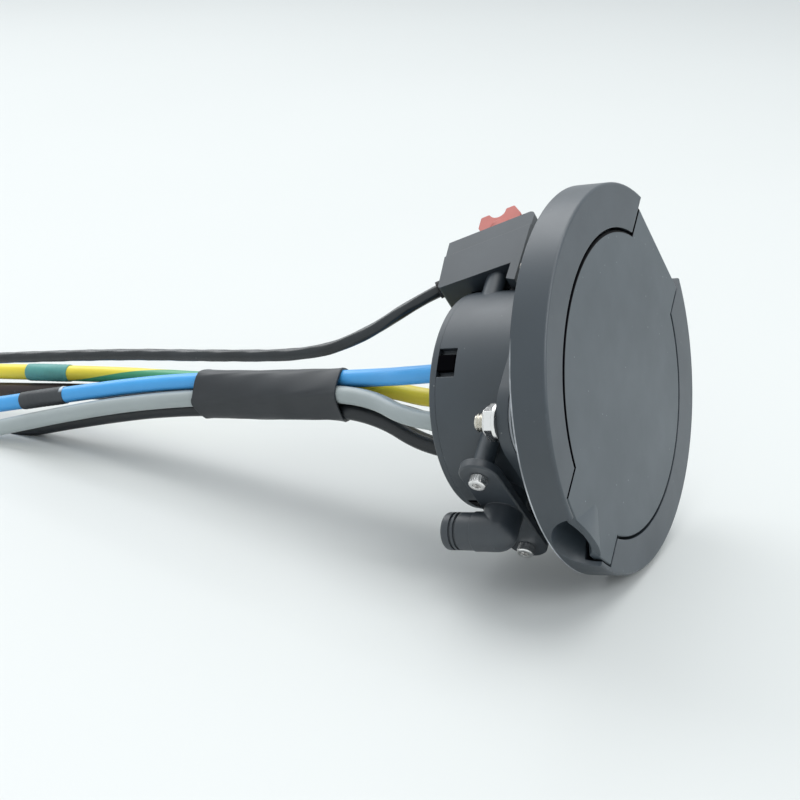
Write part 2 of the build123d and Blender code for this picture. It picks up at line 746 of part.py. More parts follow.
with BuildPart() as actuator_base:
    with BuildSketch(Plane.YZ.offset(-box_near)):
        Polygon(
            (box_front, bottom_z(box_front)),
            (box_rear, bottom_z(box_rear)),
            (box_rear + box_lean * 0.65, top_z(box_rear + box_lean * 0.65) - parting_height),
            (box_front, top_z(box_front) - parting_height),
            align=None,
        )
    extrude(amount=box_width)
    fillet(actuator_base.edges().filter_by(Axis.X).group_by(Axis.Z)[0], 0.8)
    with BuildSketch(Plane.YZ.offset(-box_near)):
        Polygon(
            (box_front - foot_thickness, bottom_z(box_front) - foot_drop),
            (box_front + 0.6, bottom_z(box_front) - foot_drop + 0.8),
            (box_front + 0.6, top_z(box_front + 0.6) - parting_height),
            (box_front - foot_thickness, top_z(box_front - foot_thickness) - parting_height),
            align=None,
        )
    extrude(amount=box_width)
    with BuildSketch(across(cap_back + 0.6)):
        with Locations((0, -socket_drop)):
            Circle(barrel_radius + saddle_clearance)
    extrude(amount=cap_back + 2, mode=Mode.SUBTRACT)
    # chamber for the drive
    with BuildSketch(Plane.YZ.offset(-box_near + box_wall)):
        Polygon(
            (box_front + box_wall, chamber_floor),
            (box_rear - box_wall, chamber_floor),
            (box_rear - box_wall, top_z(box_rear)),
            (box_front + box_wall, top_z(box_front)),
            align=None,
        )
    extrude(amount=box_width - 2 * box_wall, mode=Mode.SUBTRACT)
    with BuildSketch(level(chamber_floor + 1)):
        with Locations((-lock_x, lock_y)):
            Circle(lock_pin_diameter / 2 + lock_clearance)
    extrude(amount=-16, mode=Mode.SUBTRACT)
    # cable well behind the barrel, with the cable's way in and the grommet's seat
    with BuildSketch(Plane.YZ.offset(-box_near + box_wall)):
        Polygon(
            (cap_back + saddle_clearance + box_wall + 0.6, bottom_z(cap_back + box_wall) + 2.4),
            (box_rear - box_wall, bottom_z(box_rear - box_wall) + 2.4),
            (box_rear - box_wall, chamber_floor + 1),
            (cap_back + saddle_clearance + box_wall + 0.6, chamber_floor + 1),
            align=None,
        )
    extrude(amount=box_width - 2 * box_wall, mode=Mode.SUBTRACT)
    with BuildSketch(Plane(origin=control_points[0], z_dir=control_out)):
        Circle(control_diameter / 2 + 0.1)
    extrude(amount=12, mode=Mode.SUBTRACT)
    with BuildSketch(Plane(origin=grommet_seat, z_dir=control_out)):
        Circle(grommet_diameter / 2 + 0.02)
    extrude(amount=12, mode=Mode.SUBTRACT)
actuator_base.part.label = "actuator_base"

with BuildPart() as actuator_cover:
    with BuildSketch(Plane.YZ.offset(-box_near + cover_inset)):
        Polygon(
            (box_front - foot_thickness, top_z(box_front - foot_thickness) - parting_height + parting_gap),
            (box_rear + box_lean * 0.6, top_z(box_rear + box_lean * 0.6) - parting_height + parting_gap),
            (box_rear + box_lean - 0.4, top_z(box_rear + box_lean - 0.4)),
            (box_front - foot_thickness, top_z(box_front - foot_thickness)),
            align=None,
        )
    extrude(amount=box_width - 2 * cover_inset)
    fillet(actuator_cover.edges().filter_by(Axis.X).group_by(Axis.Z)[-1], 1.6)
    with BuildSketch(Plane.YZ.offset(-box_near + box_wall + 0.4)):
        Polygon(
            (box_front + box_wall + 0.4, chamber_floor + 4),
            (box_rear - box_wall, chamber_floor + 4 - (box_rear - box_front) * 0.2),
            (box_rear - box_wall, top_z(box_rear - box_wall) - 2.2),
            (box_front + box_wall + 0.4, top_z(box_front + box_wall) - 2.2),
            align=None,
        )
    extrude(amount=box_width - 2 * box_wall - 0.8, mode=Mode.SUBTRACT)
    knob_seat = Plane(
        origin=(-knob_x, knob_y, top_z(knob_y)),
        x_dir=(1, 0, 0),
        z_dir=(0, math.sin(top_angle), math.cos(top_angle)),
    )
    with BuildSketch(knob_seat):
        Circle(knob_shaft / 2 + knob_clearance)
    extrude(amount=-5, mode=Mode.SUBTRACT)
actuator_cover.part.label = "actuator_cover"

# Two lobes on a round base; the valley between them is a cylinder's cut.
knob_side = Plane(
    origin=knob_seat.origin - Vector(knob_thickness / 2, 0, 0), x_dir=knob_seat.y_dir, z_dir=(1, 0, 0)
)
with BuildPart() as release_knob:
    with BuildSketch(knob_seat.offset(0.3)):
        Circle(knob_base)
    extrude(amount=2.2)
    with BuildSketch(knob_side) as lobes:
        with BuildLine():
            Polyline(
                (-knob_length / 2 + 0.6, 2.0),
                (-knob_length / 2, 4.2),
                (-knob_length / 2 + 1.6, knob_height),
                (knob_length / 2 - 1.6, knob_height),
                (knob_length / 2, 4.2),
                (knob_length / 2 - 0.6, 2.0),
                close=True,
            )
        make_face()
        with Locations((0, knob_height + 0.4)):
            Circle(knob_valley, mode=Mode.SUBTRACT)
        fillet(lobes.vertices().group_by(Axis.Y)[-1], 0.7)
    extrude(amount=knob_thickness)
    with BuildSketch(knob_seat.offset(0.4)):
        Circle(knob_shaft / 2)
    extrude(amount=-3.0)
release_knob.part.label = "release_knob"

# The lock pin on its carriage inside the case.
pin_tip = -socket_drop + math.sqrt((recess_diameter / 2) ** 2 - lock_x**2) + 0.4
with BuildPart() as lock_pin:
    with BuildSketch(level(pin_tip)):
        with Locations((-lock_x, lock_y)):
            Circle(lock_pin_diameter / 2)
    extrude(amount=chamber_floor + lock_travel + 1 - pin_tip)
    chamfer(lock_pin.edges().group_by(Axis.Z)[0], 0.5)
    with BuildSketch(level(chamber_floor + lock_travel + 0.3)):
        with Locations((-lock_x - carriage_offset, lock_y + carriage_length / 2 - carriage_overhang)):
            RectangleRounded(carriage_width, carriage_length, 0.8)
    extrude(amount=carriage_height)
lock_pin.part.label = "lock_pin"

with BuildPart() as lock_motor:
    with BuildSketch(across(motor_back)):
        with Locations((-motor_x, chamber_floor + motor_diameter / 2)):
            Circle(motor_diameter / 2)
    extrude(amount=motor_length)
lock_motor.part.label = "lock_motor"

# Cords.
ring_angles = {"neutral": 138, "l3": 210, "l2": 282, "l1": 354, "earth": 66}
bundle = [(0.0, 83.0, -2.6), (0.0, 122.0, -1.7), (0.0, 164.0, 1.0)]
# how far each wire bows down behind the cap, and where it fans out past the sleeve
bow = {"neutral": 1.2, "l3": 0.5, "l2": 0.8, "l1": 0.5, "earth": 0.0}
fan = {
    "neutral": ((-7.0, 208.0, -2.6), (-8.6, 251.0, -8.8)),
    "l3": ((-5.0, 208.0, -9.6), (-6.2, 251.0, -19.6)),
    "l2": ((4.0, 208.0, -6.4), (5.0, 251.0, -12.5)),
    "l1": ((5.0, 210.0, 6.4), (4.0, 264.0, 8.4)),
    "earth": ((0.0, 210.0, 11.4), (0.0, 264.0, 15.2)),
}


def wire_points(name):
    """The corner points of one wire's route, from its contact through the sleeve to its free end."""
    x, z = next((x, z) for n, x, z, _ in contact_places() if n == name)
    points = [(x, wire_start, z - socket_drop), (x, wire_start + 20.0, z - socket_drop - bow[name])]
    for step, (bx, by, bz) in enumerate(bundle):
        angle = math.radians(ring_angles[name] + bundle_twist * step / 2)
        points.append((bx + wire_ring * math.cos(angle), by, bz + wire_ring * math.sin(angle)))
    return points + list(fan[name])


def turn_radii(points, reach):
    """A bend radius for each inner corner: the arc takes reach of the shorter run, at most 0.45 of it."""
    radii = []
    for a, b, c, most in zip(points, points[1:], points[2:], reach):
        u, v = Vector(*b) - Vector(*a), Vector(*c) - Vector(*b)
        half = math.radians(u.get_angle(v)) / 2
        radii.append(min(most, 0.45 * min(u.length, v.length)) / math.tan(half))
    return radii


def route_length(points, radii):
    total = sum((Vector(*b) - Vector(*a)).length for a, b in zip(points, points[1:]))
    for a, b, c, r in zip(points, points[1:], points[2:], radii):
        turn = math.radians((Vector(*b) - Vector(*a)).get_angle(Vector(*c) - Vector(*b)))
        total += r * turn - 2 * r * math.tan(turn / 2)
    return total


wires = {}
for name in ring_angles:
    points = wire_points(name)
    radii = turn_radii(points, (12.0, 11.0, 16.0, 5.0, 14.0))
    with BuildPart() as wire:
        with BuildLine() as route:
            path = FilletPolyline(*points, radius=radii)
        with BuildSketch(Plane(origin=points[0], z_dir=route.line % 0)):
            Circle(wire_diameter / 2)
        sweep(path=route.line)
        split(bisect_by=across(wire_start), keep=Keep.BOTTOM)
    wire.part.label = "wire_" + name
    wires[name] = wire
    print(
        "wire", name, "length", round(route_length(points, radii), 1), "radii", [round(r) for r in radii],
        "volume", round(wire.part.volume), "expected", round(path.length * math.pi * wire_diameter**2 / 4),
    )

sleeve_axis = (Vector(*bundle[1]) - Vector(*bundle[0])).normalized()
sleeve_far = (Vector(*bundle[2]) - Vector(*bundle[1])).normalized()
sleeve_run = (Vector(*bundle[1]) - Vector(*bundle[0])).length - sleeve_start
sleeve_points = [
    Vector(*bundle[0]) + sleeve_axis * sleeve_start,
    Vector(*bundle[1]),
    Vector(*bundle[1]) + sleeve_far * (sleeve_length - sleeve_run),
]
with BuildPart() as bundle_sleeve:
    with BuildLine() as sleeve_route:
        FilletPolyline(*sleeve_points, radius=turn_radii(bundle, (16.0,))[0])
    with BuildSketch(Plane(origin=sleeve_points[0], z_dir=sleeve_axis)):
        Circle(wire_ring + wire_diameter / 2 + sleeve_clearance + sleeve_wall)
        Circle(wire_ring + wire_diameter / 2 + sleeve_clearance, mode=Mode.SUBTRACT)
    sweep(path=sleeve_route.line)
bundle_sleeve.part.label = "bundle_sleeve"

markers = {}
for name, share in (("neutral", 0.21), ("earth", 0.30)):
    a, b = Vector(*fan[name][0]), Vector(*fan[name][1])
    with BuildPart() as marker:
        with BuildSketch(Plane(origin=a + (b - a) * share, z_dir=b - a)):
            Circle(wire_diameter / 2 + marker_wall)
            Circle(wire_diameter / 2 + 0.02, mode=Mode.SUBTRACT)
        extrude(amount=marker_length)
    marker.part.label = "marker_" + name
    markers[name] = marker

control_radii = turn_radii(control_points, (5.0, 6.5, 12.0, 20.0, 20.0))
with BuildPart() as control_cable:
    with BuildLine() as control_route:
        control_path = FilletPolyline(*control_points, radius=control_radii)
    with BuildSketch(Plane(origin=control_points[0], z_dir=control_route.line % 0)):
        Circle(control_diameter / 2)
    sweep(path=control_route.line)
control_cable.part.label = "control_cable"
print(
    "control cable length", round(control_path.length, 1), "radii", [round(r) for r in control_radii],
    "volume", round(control_cable.part.volume), "expected",
    round(control_path.length * math.pi * control_diameter**2 / 4),
)

with BuildPart() as cable_grommet:
    with BuildSketch(Plane(origin=grommet_seat, z_dir=control_out)):
        Circle(grommet_diameter / 2)
        Circle(control_diameter / 2 + 0.02, mode=Mode.SUBTRACT)
    extrude(amount=grommet_length)
cable_grommet.part.label = "cable_grommet"

named = [
    front_bezel, flap_lid, lid_seal, hinge_pin, lid_spring,
    socket_housing, flange_gasket, contact_carrier, contact_retainer, rear_cap,
    panel_studs, panel_washers, panel_nuts, drain_elbow, drain_gasket, drain_screws,
    actuator_base, actuator_cover, release_knob, lock_pin, lock_motor,
    bundle_sleeve, control_cable, cable_grommet,
    *contacts.values(), *wires.values(), *markers.values(),
]
for piece in named:
    export_step(piece.part, f"parts/{piece.part.label}.step")
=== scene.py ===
import math

import bpy
import numpy as np
from mathutils import Matrix


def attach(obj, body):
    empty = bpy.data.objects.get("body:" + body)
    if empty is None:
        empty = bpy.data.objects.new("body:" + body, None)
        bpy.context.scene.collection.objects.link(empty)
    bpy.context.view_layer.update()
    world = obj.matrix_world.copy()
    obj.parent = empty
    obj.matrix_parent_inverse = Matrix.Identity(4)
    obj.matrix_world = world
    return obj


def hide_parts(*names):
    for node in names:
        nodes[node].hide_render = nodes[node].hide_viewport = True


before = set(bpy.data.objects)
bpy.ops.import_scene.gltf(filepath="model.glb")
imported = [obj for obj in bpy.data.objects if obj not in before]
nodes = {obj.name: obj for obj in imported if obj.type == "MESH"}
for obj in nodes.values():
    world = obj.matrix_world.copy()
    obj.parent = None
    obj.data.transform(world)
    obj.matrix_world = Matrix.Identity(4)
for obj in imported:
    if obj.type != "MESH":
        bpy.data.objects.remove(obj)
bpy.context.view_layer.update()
print("frame loaded,", len(nodes), "nodes")

# Lengths are metres in the CAD frame. The table is tilted in it, as the socket lies on its rim and its leads.

# camera, fitted to the photo's outlines
camera = {
    "place": (-0.38406, -0.20108, -0.28639),
    "right": (0.417, -0.868, 0.268),
    "up": (-0.578, -0.026, 0.816),
    "lens": 72.0,
    "sensor": 36.0,
}


def unit(v):
    return np.array(v, float) / np.linalg.norm(v)


camRight = unit(camera["right"])
camUp = unit(np.array(camera["up"]) - camRight * np.dot(camera["up"], camRight))
camBack = np.cross(camRight, camUp)


def placed(name, data, place, right, up):
    # an object whose X is right and Y is up, looking down its own -Z as cameras and lamps do
    obj = bpy.data.objects.new(name, data)
    bpy.context.scene.collection.objects.link(obj)
    turn = np.eye(4)
    turn[:3, 0], turn[:3, 1], turn[:3, 2] = right, up, np.cross(right, up)
    turn[:3, 3] = place
    obj.matrix_world = Matrix(turn.tolist())
    return obj


camData = bpy.data.cameras.new("camera")
camData.lens, camData.sensor_width = camera["lens"], camera["sensor"]
camData.clip_start, camData.clip_end = 0.01, 30.0
bpy.context.scene.camera = placed("camera", camData, camera["place"], camRight, camUp)
print("camera set")


# node helpers
def newGroup(name, inputs, outputs):
    group = bpy.data.node_groups.new(name, "ShaderNodeTree")
    for label, kind, value in inputs:
        group.interface.new_socket(name=label, in_out="INPUT", socket_type=kind).default_value = value
    for label, kind in outputs:
        group.interface.new_socket(name=label, in_out="OUTPUT", socket_type=kind)
    return group, group.nodes.new("NodeGroupInput").outputs, group.nodes.new("NodeGroupOutput").inputs


def addNode(tree, kind, inputs=(), **settings):
    # inputs maps a socket's name or number to a value or to another node's output
    made = tree.nodes.new(kind)
    for key, value in settings.items():
        setattr(made, key, value)
    for socket, source in dict(inputs).items():
        if isinstance(source, bpy.types.NodeSocket):
            tree.links.new(source, made.inputs[socket])
        else:
            made.inputs[socket].default_value = source
    return made


def maths(tree, operation, a, b=0.0):
    return addNode(tree, "ShaderNodeMath", {0: a, 1: b}, operation=operation).outputs[0]


def product(tree, first, *others):
    # all the values multiplied, one after the other
    for other in others:
        first = maths(tree, "MULTIPLY", first, other)
    return first


def ranged(tree, value, fromMin, fromMax, toMin=0.0, toMax=1.0, smooth=False):
    # the value moved from one range to another, linearly or smoothly, and held at the range's ends
    kind = "SMOOTHSTEP" if smooth else "LINEAR"
    inputs = {0: value, 1: fromMin, 2: fromMax, 3: toMin, 4: toMax}
    return addNode(tree, "ShaderNodeMapRange", inputs, interpolation_type=kind).outputs[0]


def mixed(tree, share, a, b):
    return addNode(tree, "ShaderNodeMix", {0: share, 6: a, 7: b}, data_type="RGBA").outputs[2]


def lengthOf(tree, vector):
    return addNode(tree, "ShaderNodeVectorMath", {0: vector}, operation="LENGTH").outputs["Value"]


def noise(tree, vector, scale, detail=3.0, roughness=0.55):
    inputs = {"Vector": vector, "Scale": scale, "Detail": detail, "Roughness": roughness}
    return addNode(tree, "ShaderNodeTexNoise", inputs).outputs["Fac"]


# shared effects
effects = {
    # scales are waves or cells in a metre, ranges run from where an effect starts to where it is full, and
    # wornTint is a factor and what is added
    "patchScale": 38.0,
    "patchRange": (0.3, 0.7),
    "glossSwing": 0.04,
    "speckScale": 430.0,
    "speckReach": (0.14, 0.05),
    "speckRarity": 0.84,
    "dustColour": (0.40, 0.42, 0.43, 1),
    "dustDulling": 0.3,
    # openness and paintedHollowShade set the painted shade in hollows and gaps
    "openness": (0.05, 0.6),
    "paintedHollowShade": 0.25,
    "wornNormals": (0.99, 0.82),
    "wearScale": 240.0,
    "wearBreaks": (0.40, 0.62, 0.2, 1.0),
    "wornTint": (2.6, 0.03),
    "reliefDepth": 0.00005,
    "stripeSoftness": 0.006,
    "scratchScale": 1400.0,
    "scratchStretch": (1.0, 9.0, 1.0),
    "scratchDepth": 0.00001,
    "scratchGloss": (0.3, 0.7, -0.06, 0.06),
    "stainScale": 160.0,
    "stainRange": (0.56, 0.75, 0.0, 0.45),
    "cloudRange": (0.3, 0.8),
    "cloudGloss": (-0.04, 0.12),
}


def mouldedSkinGroup():
    # moulded plastic. The height is a fine noise of the grain's size. The colour is the given one times a
    # tone, which is one less or more the patches by a slow noise, times a painted shade from ambient
    # occlusion in hollows and gaps up to the hollow distance wide; sparse specks of dust lie on it. The
    # roughness is the given one plus a swing by the same slow noise, plus a little on dust.
    group, given, out = newGroup(
        "mouldedSkin",
        [
            ("Colour", "NodeSocketColor", (0.05, 0.05, 0.05, 1)),
            ("Roughness", "NodeSocketFloat", 0.5),
            ("Grain Size", "NodeSocketFloat", 0.0003),
            ("Patches", "NodeSocketFloat", 0.1),
            ("Dust", "NodeSocketFloat", 0.5),
            ("Hollow", "NodeSocketFloat", 0.003),
        ],
        [("Colour", "NodeSocketColor"), ("Roughness", "NodeSocketFloat"), ("Height", "NodeSocketFloat")],
    )
    place = addNode(group, "ShaderNodeTexCoord").outputs["Object"]
    grain = noise(group, place, maths(group, "DIVIDE", 1.0, given["Grain Size"]), detail=2.0, roughness=0.6)
    patch = noise(group, place, effects["patchScale"], detail=5.0, roughness=0.6)
    specks = addNode(group, "ShaderNodeTexVoronoi", {"Vector": place, "Scale": effects["speckScale"]}).outputs
    speck = ranged(group, specks["Distance"], *effects["speckReach"])
    chosen = maths(group, "GREATER_THAN", specks["Color"], effects["speckRarity"])
    dust = product(group, speck, chosen, given["Dust"])
    darkest = maths(group, "SUBTRACT", 1.0, given["Patches"])
    lightest = maths(group, "ADD", 1.0, given["Patches"])
    tone = ranged(group, patch, *effects["patchRange"], darkest, lightest)
    # painted shade: the colour is darkened where ambient occlusion finds hollows and gaps
    occlusion = addNode(group, "ShaderNodeAmbientOcclusion", {"Distance": given["Hollow"]}, samples=3)
    shade = ranged(group, occlusion.outputs["AO"], *effects["openness"], effects["paintedHollowShade"], 1.0)
    tone = maths(group, "MULTIPLY", tone, shade)
    toned = addNode(group, "ShaderNodeVectorMath", {0: given["Colour"], "Scale": tone}, operation="SCALE")
    group.links.new(mixed(group, dust, toned.outputs[0], effects["dustColour"]), out["Colour"])
    swing = ranged(group, patch, *effects["patchRange"], effects["glossSwing"], -effects["glossSwing"])
    dulled = maths(group, "MULTIPLY", dust, effects["dustDulling"])
    gloss = maths(group, "ADD", given["Roughness"], swing)
    group.links.new(maths(group, "ADD", gloss, dulled), out["Roughness"])
    group.links.new(grain, out["Height"])
    return group


def edgeWearGroup():
    # the dot product of the true and the rounded normal drops at an edge. The mask is how far it has dropped,
    # times a noise that breaks the line up, times the amount.
    group, given, out = newGroup(
        "edgeWear",
        [("Width", "NodeSocketFloat", 0.0005), ("Amount", "NodeSocketFloat", 0.4)],
        [("Mask", "NodeSocketFloat"), ("Normal", "NodeSocketVector")],
    )
    place = addNode(group, "ShaderNodeTexCoord").outputs["Object"]
    trueNormal = addNode(group, "ShaderNodeNewGeometry").outputs["Normal"]
    rounded = addNode(group, "ShaderNodeBevel", {"Radius": given["Width"]}, samples=4).outputs[0]
    same = addNode(group, "ShaderNodeVectorMath", {0: trueNormal, 1: rounded}, operation="DOT_PRODUCT")
    edge = ranged(group, same.outputs["Value"], *effects["wornNormals"])
    uneven = noise(group, place, effects["wearScale"], detail=5.0, roughness=0.65)
    broken = ranged(group, uneven, *effects["wearBreaks"])
    group.links.new(product(group, edge, broken, given["Amount"]), out["Mask"])
    group.links.new(rounded, out["Normal"])
    return group


def leadStripeGroup():
    # UV y is how far round the lead from the stripe's edge, in turns, so the stripe is y from 0 to its width:
    # where the distance from the stripe's middle, less the nearest whole turns, is under half its width
    group, given, out = newGroup(
        "leadStripe",
        [
            ("Ground", "NodeSocketColor", (0.8, 0.6, 0.05, 1)),
            ("Stripe", "NodeSocketColor", (0.02, 0.3, 0.1, 1)),
            ("Width", "NodeSocketFloat", 0.35),
        ],
        [("Colour", "NodeSocketColor")],
    )
    uv = addNode(group, "ShaderNodeTexCoord").outputs["UV"]
    turns = addNode(group, "ShaderNodeSeparateXYZ", {0: uv}).outputs["Y"]
    halfWidth = maths(group, "MULTIPLY", given["Width"], 0.5)
    fromMiddle = maths(group, "PINGPONG", maths(group, "SUBTRACT", turns, halfWidth), 0.5)
    beyond = maths(group, "SUBTRACT", fromMiddle, halfWidth)
    soft = effects["stripeSoftness"]
    share = ranged(group, beyond, -soft, soft, 1.0, 0.0, smooth=True)
    group.links.new(mixed(group, share, given["Ground"], given["Stripe"]), out["Colour"])
    return group


mouldedSkin, edgeWear, leadStripe = mouldedSkinGroup(), edgeWearGroup(), leadStripeGroup()


def grouped(tree, group, values):
    made = addNode(tree, "ShaderNodeGroup", node_tree=group)
    for label, value in values.items():
        made.inputs[label].default_value = value
    return made


def newMaterial(name):
    material = bpy.data.materials.new(name)
    material.use_nodes = True
    return material, material.node_tree, material.node_tree.nodes["Principled BSDF"]


# paint on single pieces; each mask takes the place's X, Y and Z, and a pair is the two ends of a range
paint = {
    "clips": (0.0367, 0.0366),
    "lidRadius": 0.0487,
    "lidDrop": 0.0018,
    "lidFront": (-0.0103, -0.0105),
    "gapWidens": (-0.010, -0.040),
    "gapWidths": (0.0003, 0.0008),
    "gapSoftness": 0.00004,
    "hingeFrom": (-0.01, 0.01),
    "tabAndHinge": (-0.0190, -0.0202),
    "sideSoftness": 0.00005,
    "highlightEnd": (0.2164, 0.2158),
    "highlightHeight": (0.0020, 0.0032),
    "rimEdge": (0.0614, 0.0618),
    "rimRear": (-0.00055, -0.00035),
    "rimLower": (-0.026, -0.034),
    "rimScale": 90.0,
    "rimBreaks": (0.35, 0.6, 0.35, 1.0),
}


def flatPlace(tree, x, z):
    return addNode(tree, "ShaderNodeCombineXYZ", {0: x, 1: 0.0, 2: z}).outputs[0]


def shadedClips(tree, place):
    # the cap's clips, in front of the barrel's end, lie in the shade of their windows
    return ranged(tree, place["Y"], *paint["clips"])


def shadedGap(tree, place):
    # the gap beside the lid is deep in shade: a band along the lid's front edge on its -X side. It is where
    # the distance from the lid's centre is over the lid's radius less the band's width, which grows towards
    # -X, and where X is beyond the side of the tab in the lower half and of the hinge in the upper half.
    centred = flatPlace(tree, place["X"], maths(tree, "ADD", place["Z"], paint["lidDrop"]))
    narrow, wide = (paint["lidRadius"] - width for width in paint["gapWidths"])
    inner = ranged(tree, place["X"], *paint["gapWidens"], narrow, wide)
    soft = paint["gapSoftness"]
    band = ranged(tree, maths(tree, "SUBTRACT", lengthOf(tree, centred), inner), -soft, soft)
    front = ranged(tree, place["Y"], *paint["lidFront"])
    side = ranged(tree, place["Z"], *paint["hingeFrom"], *paint["tabAndHinge"])
    soft = paint["sideSoftness"]
    beside = ranged(tree, maths(tree, "SUBTRACT", place["X"], side), soft, -soft)
    return product(tree, band, front, beside)


def paintedLipHighlight(tree, place):
    # a painted highlight: a pale band at the near end of the blue lead's marker, on the part that is highest
    # along the camera's up
    up = camera["up"]
    alongX = maths(tree, "MULTIPLY", place["X"], up[0])
    height = maths(tree, "ADD", maths(tree, "MULTIPLY", place["Z"], up[2]), alongX)
    near = ranged(tree, place["Y"], *paint["highlightEnd"])
    return product(tree, near, ranged(tree, height, *paint["highlightHeight"]))


def rubbedRim(tree, place):
    # an uneven thin line on the lower part of the bezel's rear edge, near the edge's radius and near y = 0
    flat = flatPlace(tree, place["X"], place["Z"])
    outer = ranged(tree, lengthOf(tree, flat), *paint["rimEdge"])
    rear = ranged(tree, place["Y"], *paint["rimRear"])
    lower = ranged(tree, place["Z"], *paint["rimLower"])
    uneven = noise(tree, flat, paint["rimScale"], detail=4.0, roughness=0.6)
    return product(tree, outer, rear, lower, ranged(tree, uneven, *paint["rimBreaks"]))


def skinMaterial(name, colour, roughness=0.5, grain=0.0003, bump=0.15, patches=0.1, dust=0.5,
                 wear=0.35, edge=0.0005, hollow=0.003, sheen=0.5, stripe=None, patch=None):
    # plastic, rubber and insulation. Wear mixes the edges to the colour times a factor plus a little, and
    # sheen is the shader's specular level. A patch is a mask, its colour, how much duller it is, and whether
    # it is metallic, which keeps a dark one black.
    material, tree, shader = newMaterial(name)
    values = {
        "Colour": (*colour, 1), "Roughness": roughness, "Grain Size": grain, "Patches": patches, "Dust": dust,
        "Hollow": hollow,
    }
    skin = grouped(tree, mouldedSkin, values)
    if stripe:
        tree.links.new(grouped(tree, leadStripe, stripe).outputs["Colour"], skin.inputs["Colour"])
    worn = grouped(tree, edgeWear, {"Width": edge, "Amount": wear})
    factor, extra = effects["wornTint"]
    lighter = (*(min(1.0, c * factor + extra) for c in colour), 1)
    base = mixed(tree, worn.outputs["Mask"], skin.outputs["Colour"], lighter)
    gloss = skin.outputs["Roughness"]
    if patch:
        mask, patchColour, duller, metallic = patch
        place = addNode(tree, "ShaderNodeTexCoord").outputs["Object"]
        share = mask(tree, addNode(tree, "ShaderNodeSeparateXYZ", {0: place}).outputs)
        base = mixed(tree, share, base, (*patchColour, 1))
        gloss = maths(tree, "ADD", gloss, maths(tree, "MULTIPLY", share, duller))
        if metallic:
            tree.links.new(share, shader.inputs["Metallic"])
    tree.links.new(base, shader.inputs["Base Color"])
    tree.links.new(gloss, shader.inputs["Roughness"])
    relief = {
        "Strength": bump, "Distance": effects["reliefDepth"],
        "Height": skin.outputs["Height"], "Normal": worn.outputs["Normal"],
    }
    tree.links.new(addNode(tree, "ShaderNodeBump", relief).outputs[0], shader.inputs["Normal"])
    shader.inputs["Specular IOR Level"].default_value = sheen
    return material


def metalMaterial(name, colour, roughness, stain=(0.30, 0.28, 0.26), scratches=0.2, edge=0.0003):
    # bare or plated metal: stains where a slow noise is high, and fine drawn scratches as relief. The
    # roughness is the given one, changed by the slow noise and by the scratches.
    material, tree, shader = newMaterial(name)
    place = addNode(tree, "ShaderNodeTexCoord").outputs["Object"]
    stretch = {"Vector": place, "Scale": effects["scratchStretch"]}
    stretched = addNode(tree, "ShaderNodeMapping", stretch).outputs[0]
    scratch = noise(tree, stretched, effects["scratchScale"], detail=2.0, roughness=0.7)
    cloud = noise(tree, place, effects["stainScale"], detail=4.0, roughness=0.6)
    stained = mixed(tree, ranged(tree, cloud, *effects["stainRange"]), (*colour, 1), (*stain, 1))
    tree.links.new(stained, shader.inputs["Base Color"])
    bright, dull = (roughness + change for change in effects["cloudGloss"])
    clouded = ranged(tree, cloud, *effects["cloudRange"], bright, dull)
    gloss = maths(tree, "ADD", clouded, ranged(tree, scratch, *effects["scratchGloss"]))
    tree.links.new(gloss, shader.inputs["Roughness"])
    rounded = addNode(tree, "ShaderNodeBevel", {"Radius": edge}, samples=4).outputs[0]
    relief = {
        "Strength": scratches, "Distance": effects["scratchDepth"], "Height": scratch, "Normal": rounded,
    }
    tree.links.new(addNode(tree, "ShaderNodeBump", relief).outputs[0], shader.inputs["Normal"])
    shader.inputs["Metallic"].default_value = 1.0
    return material


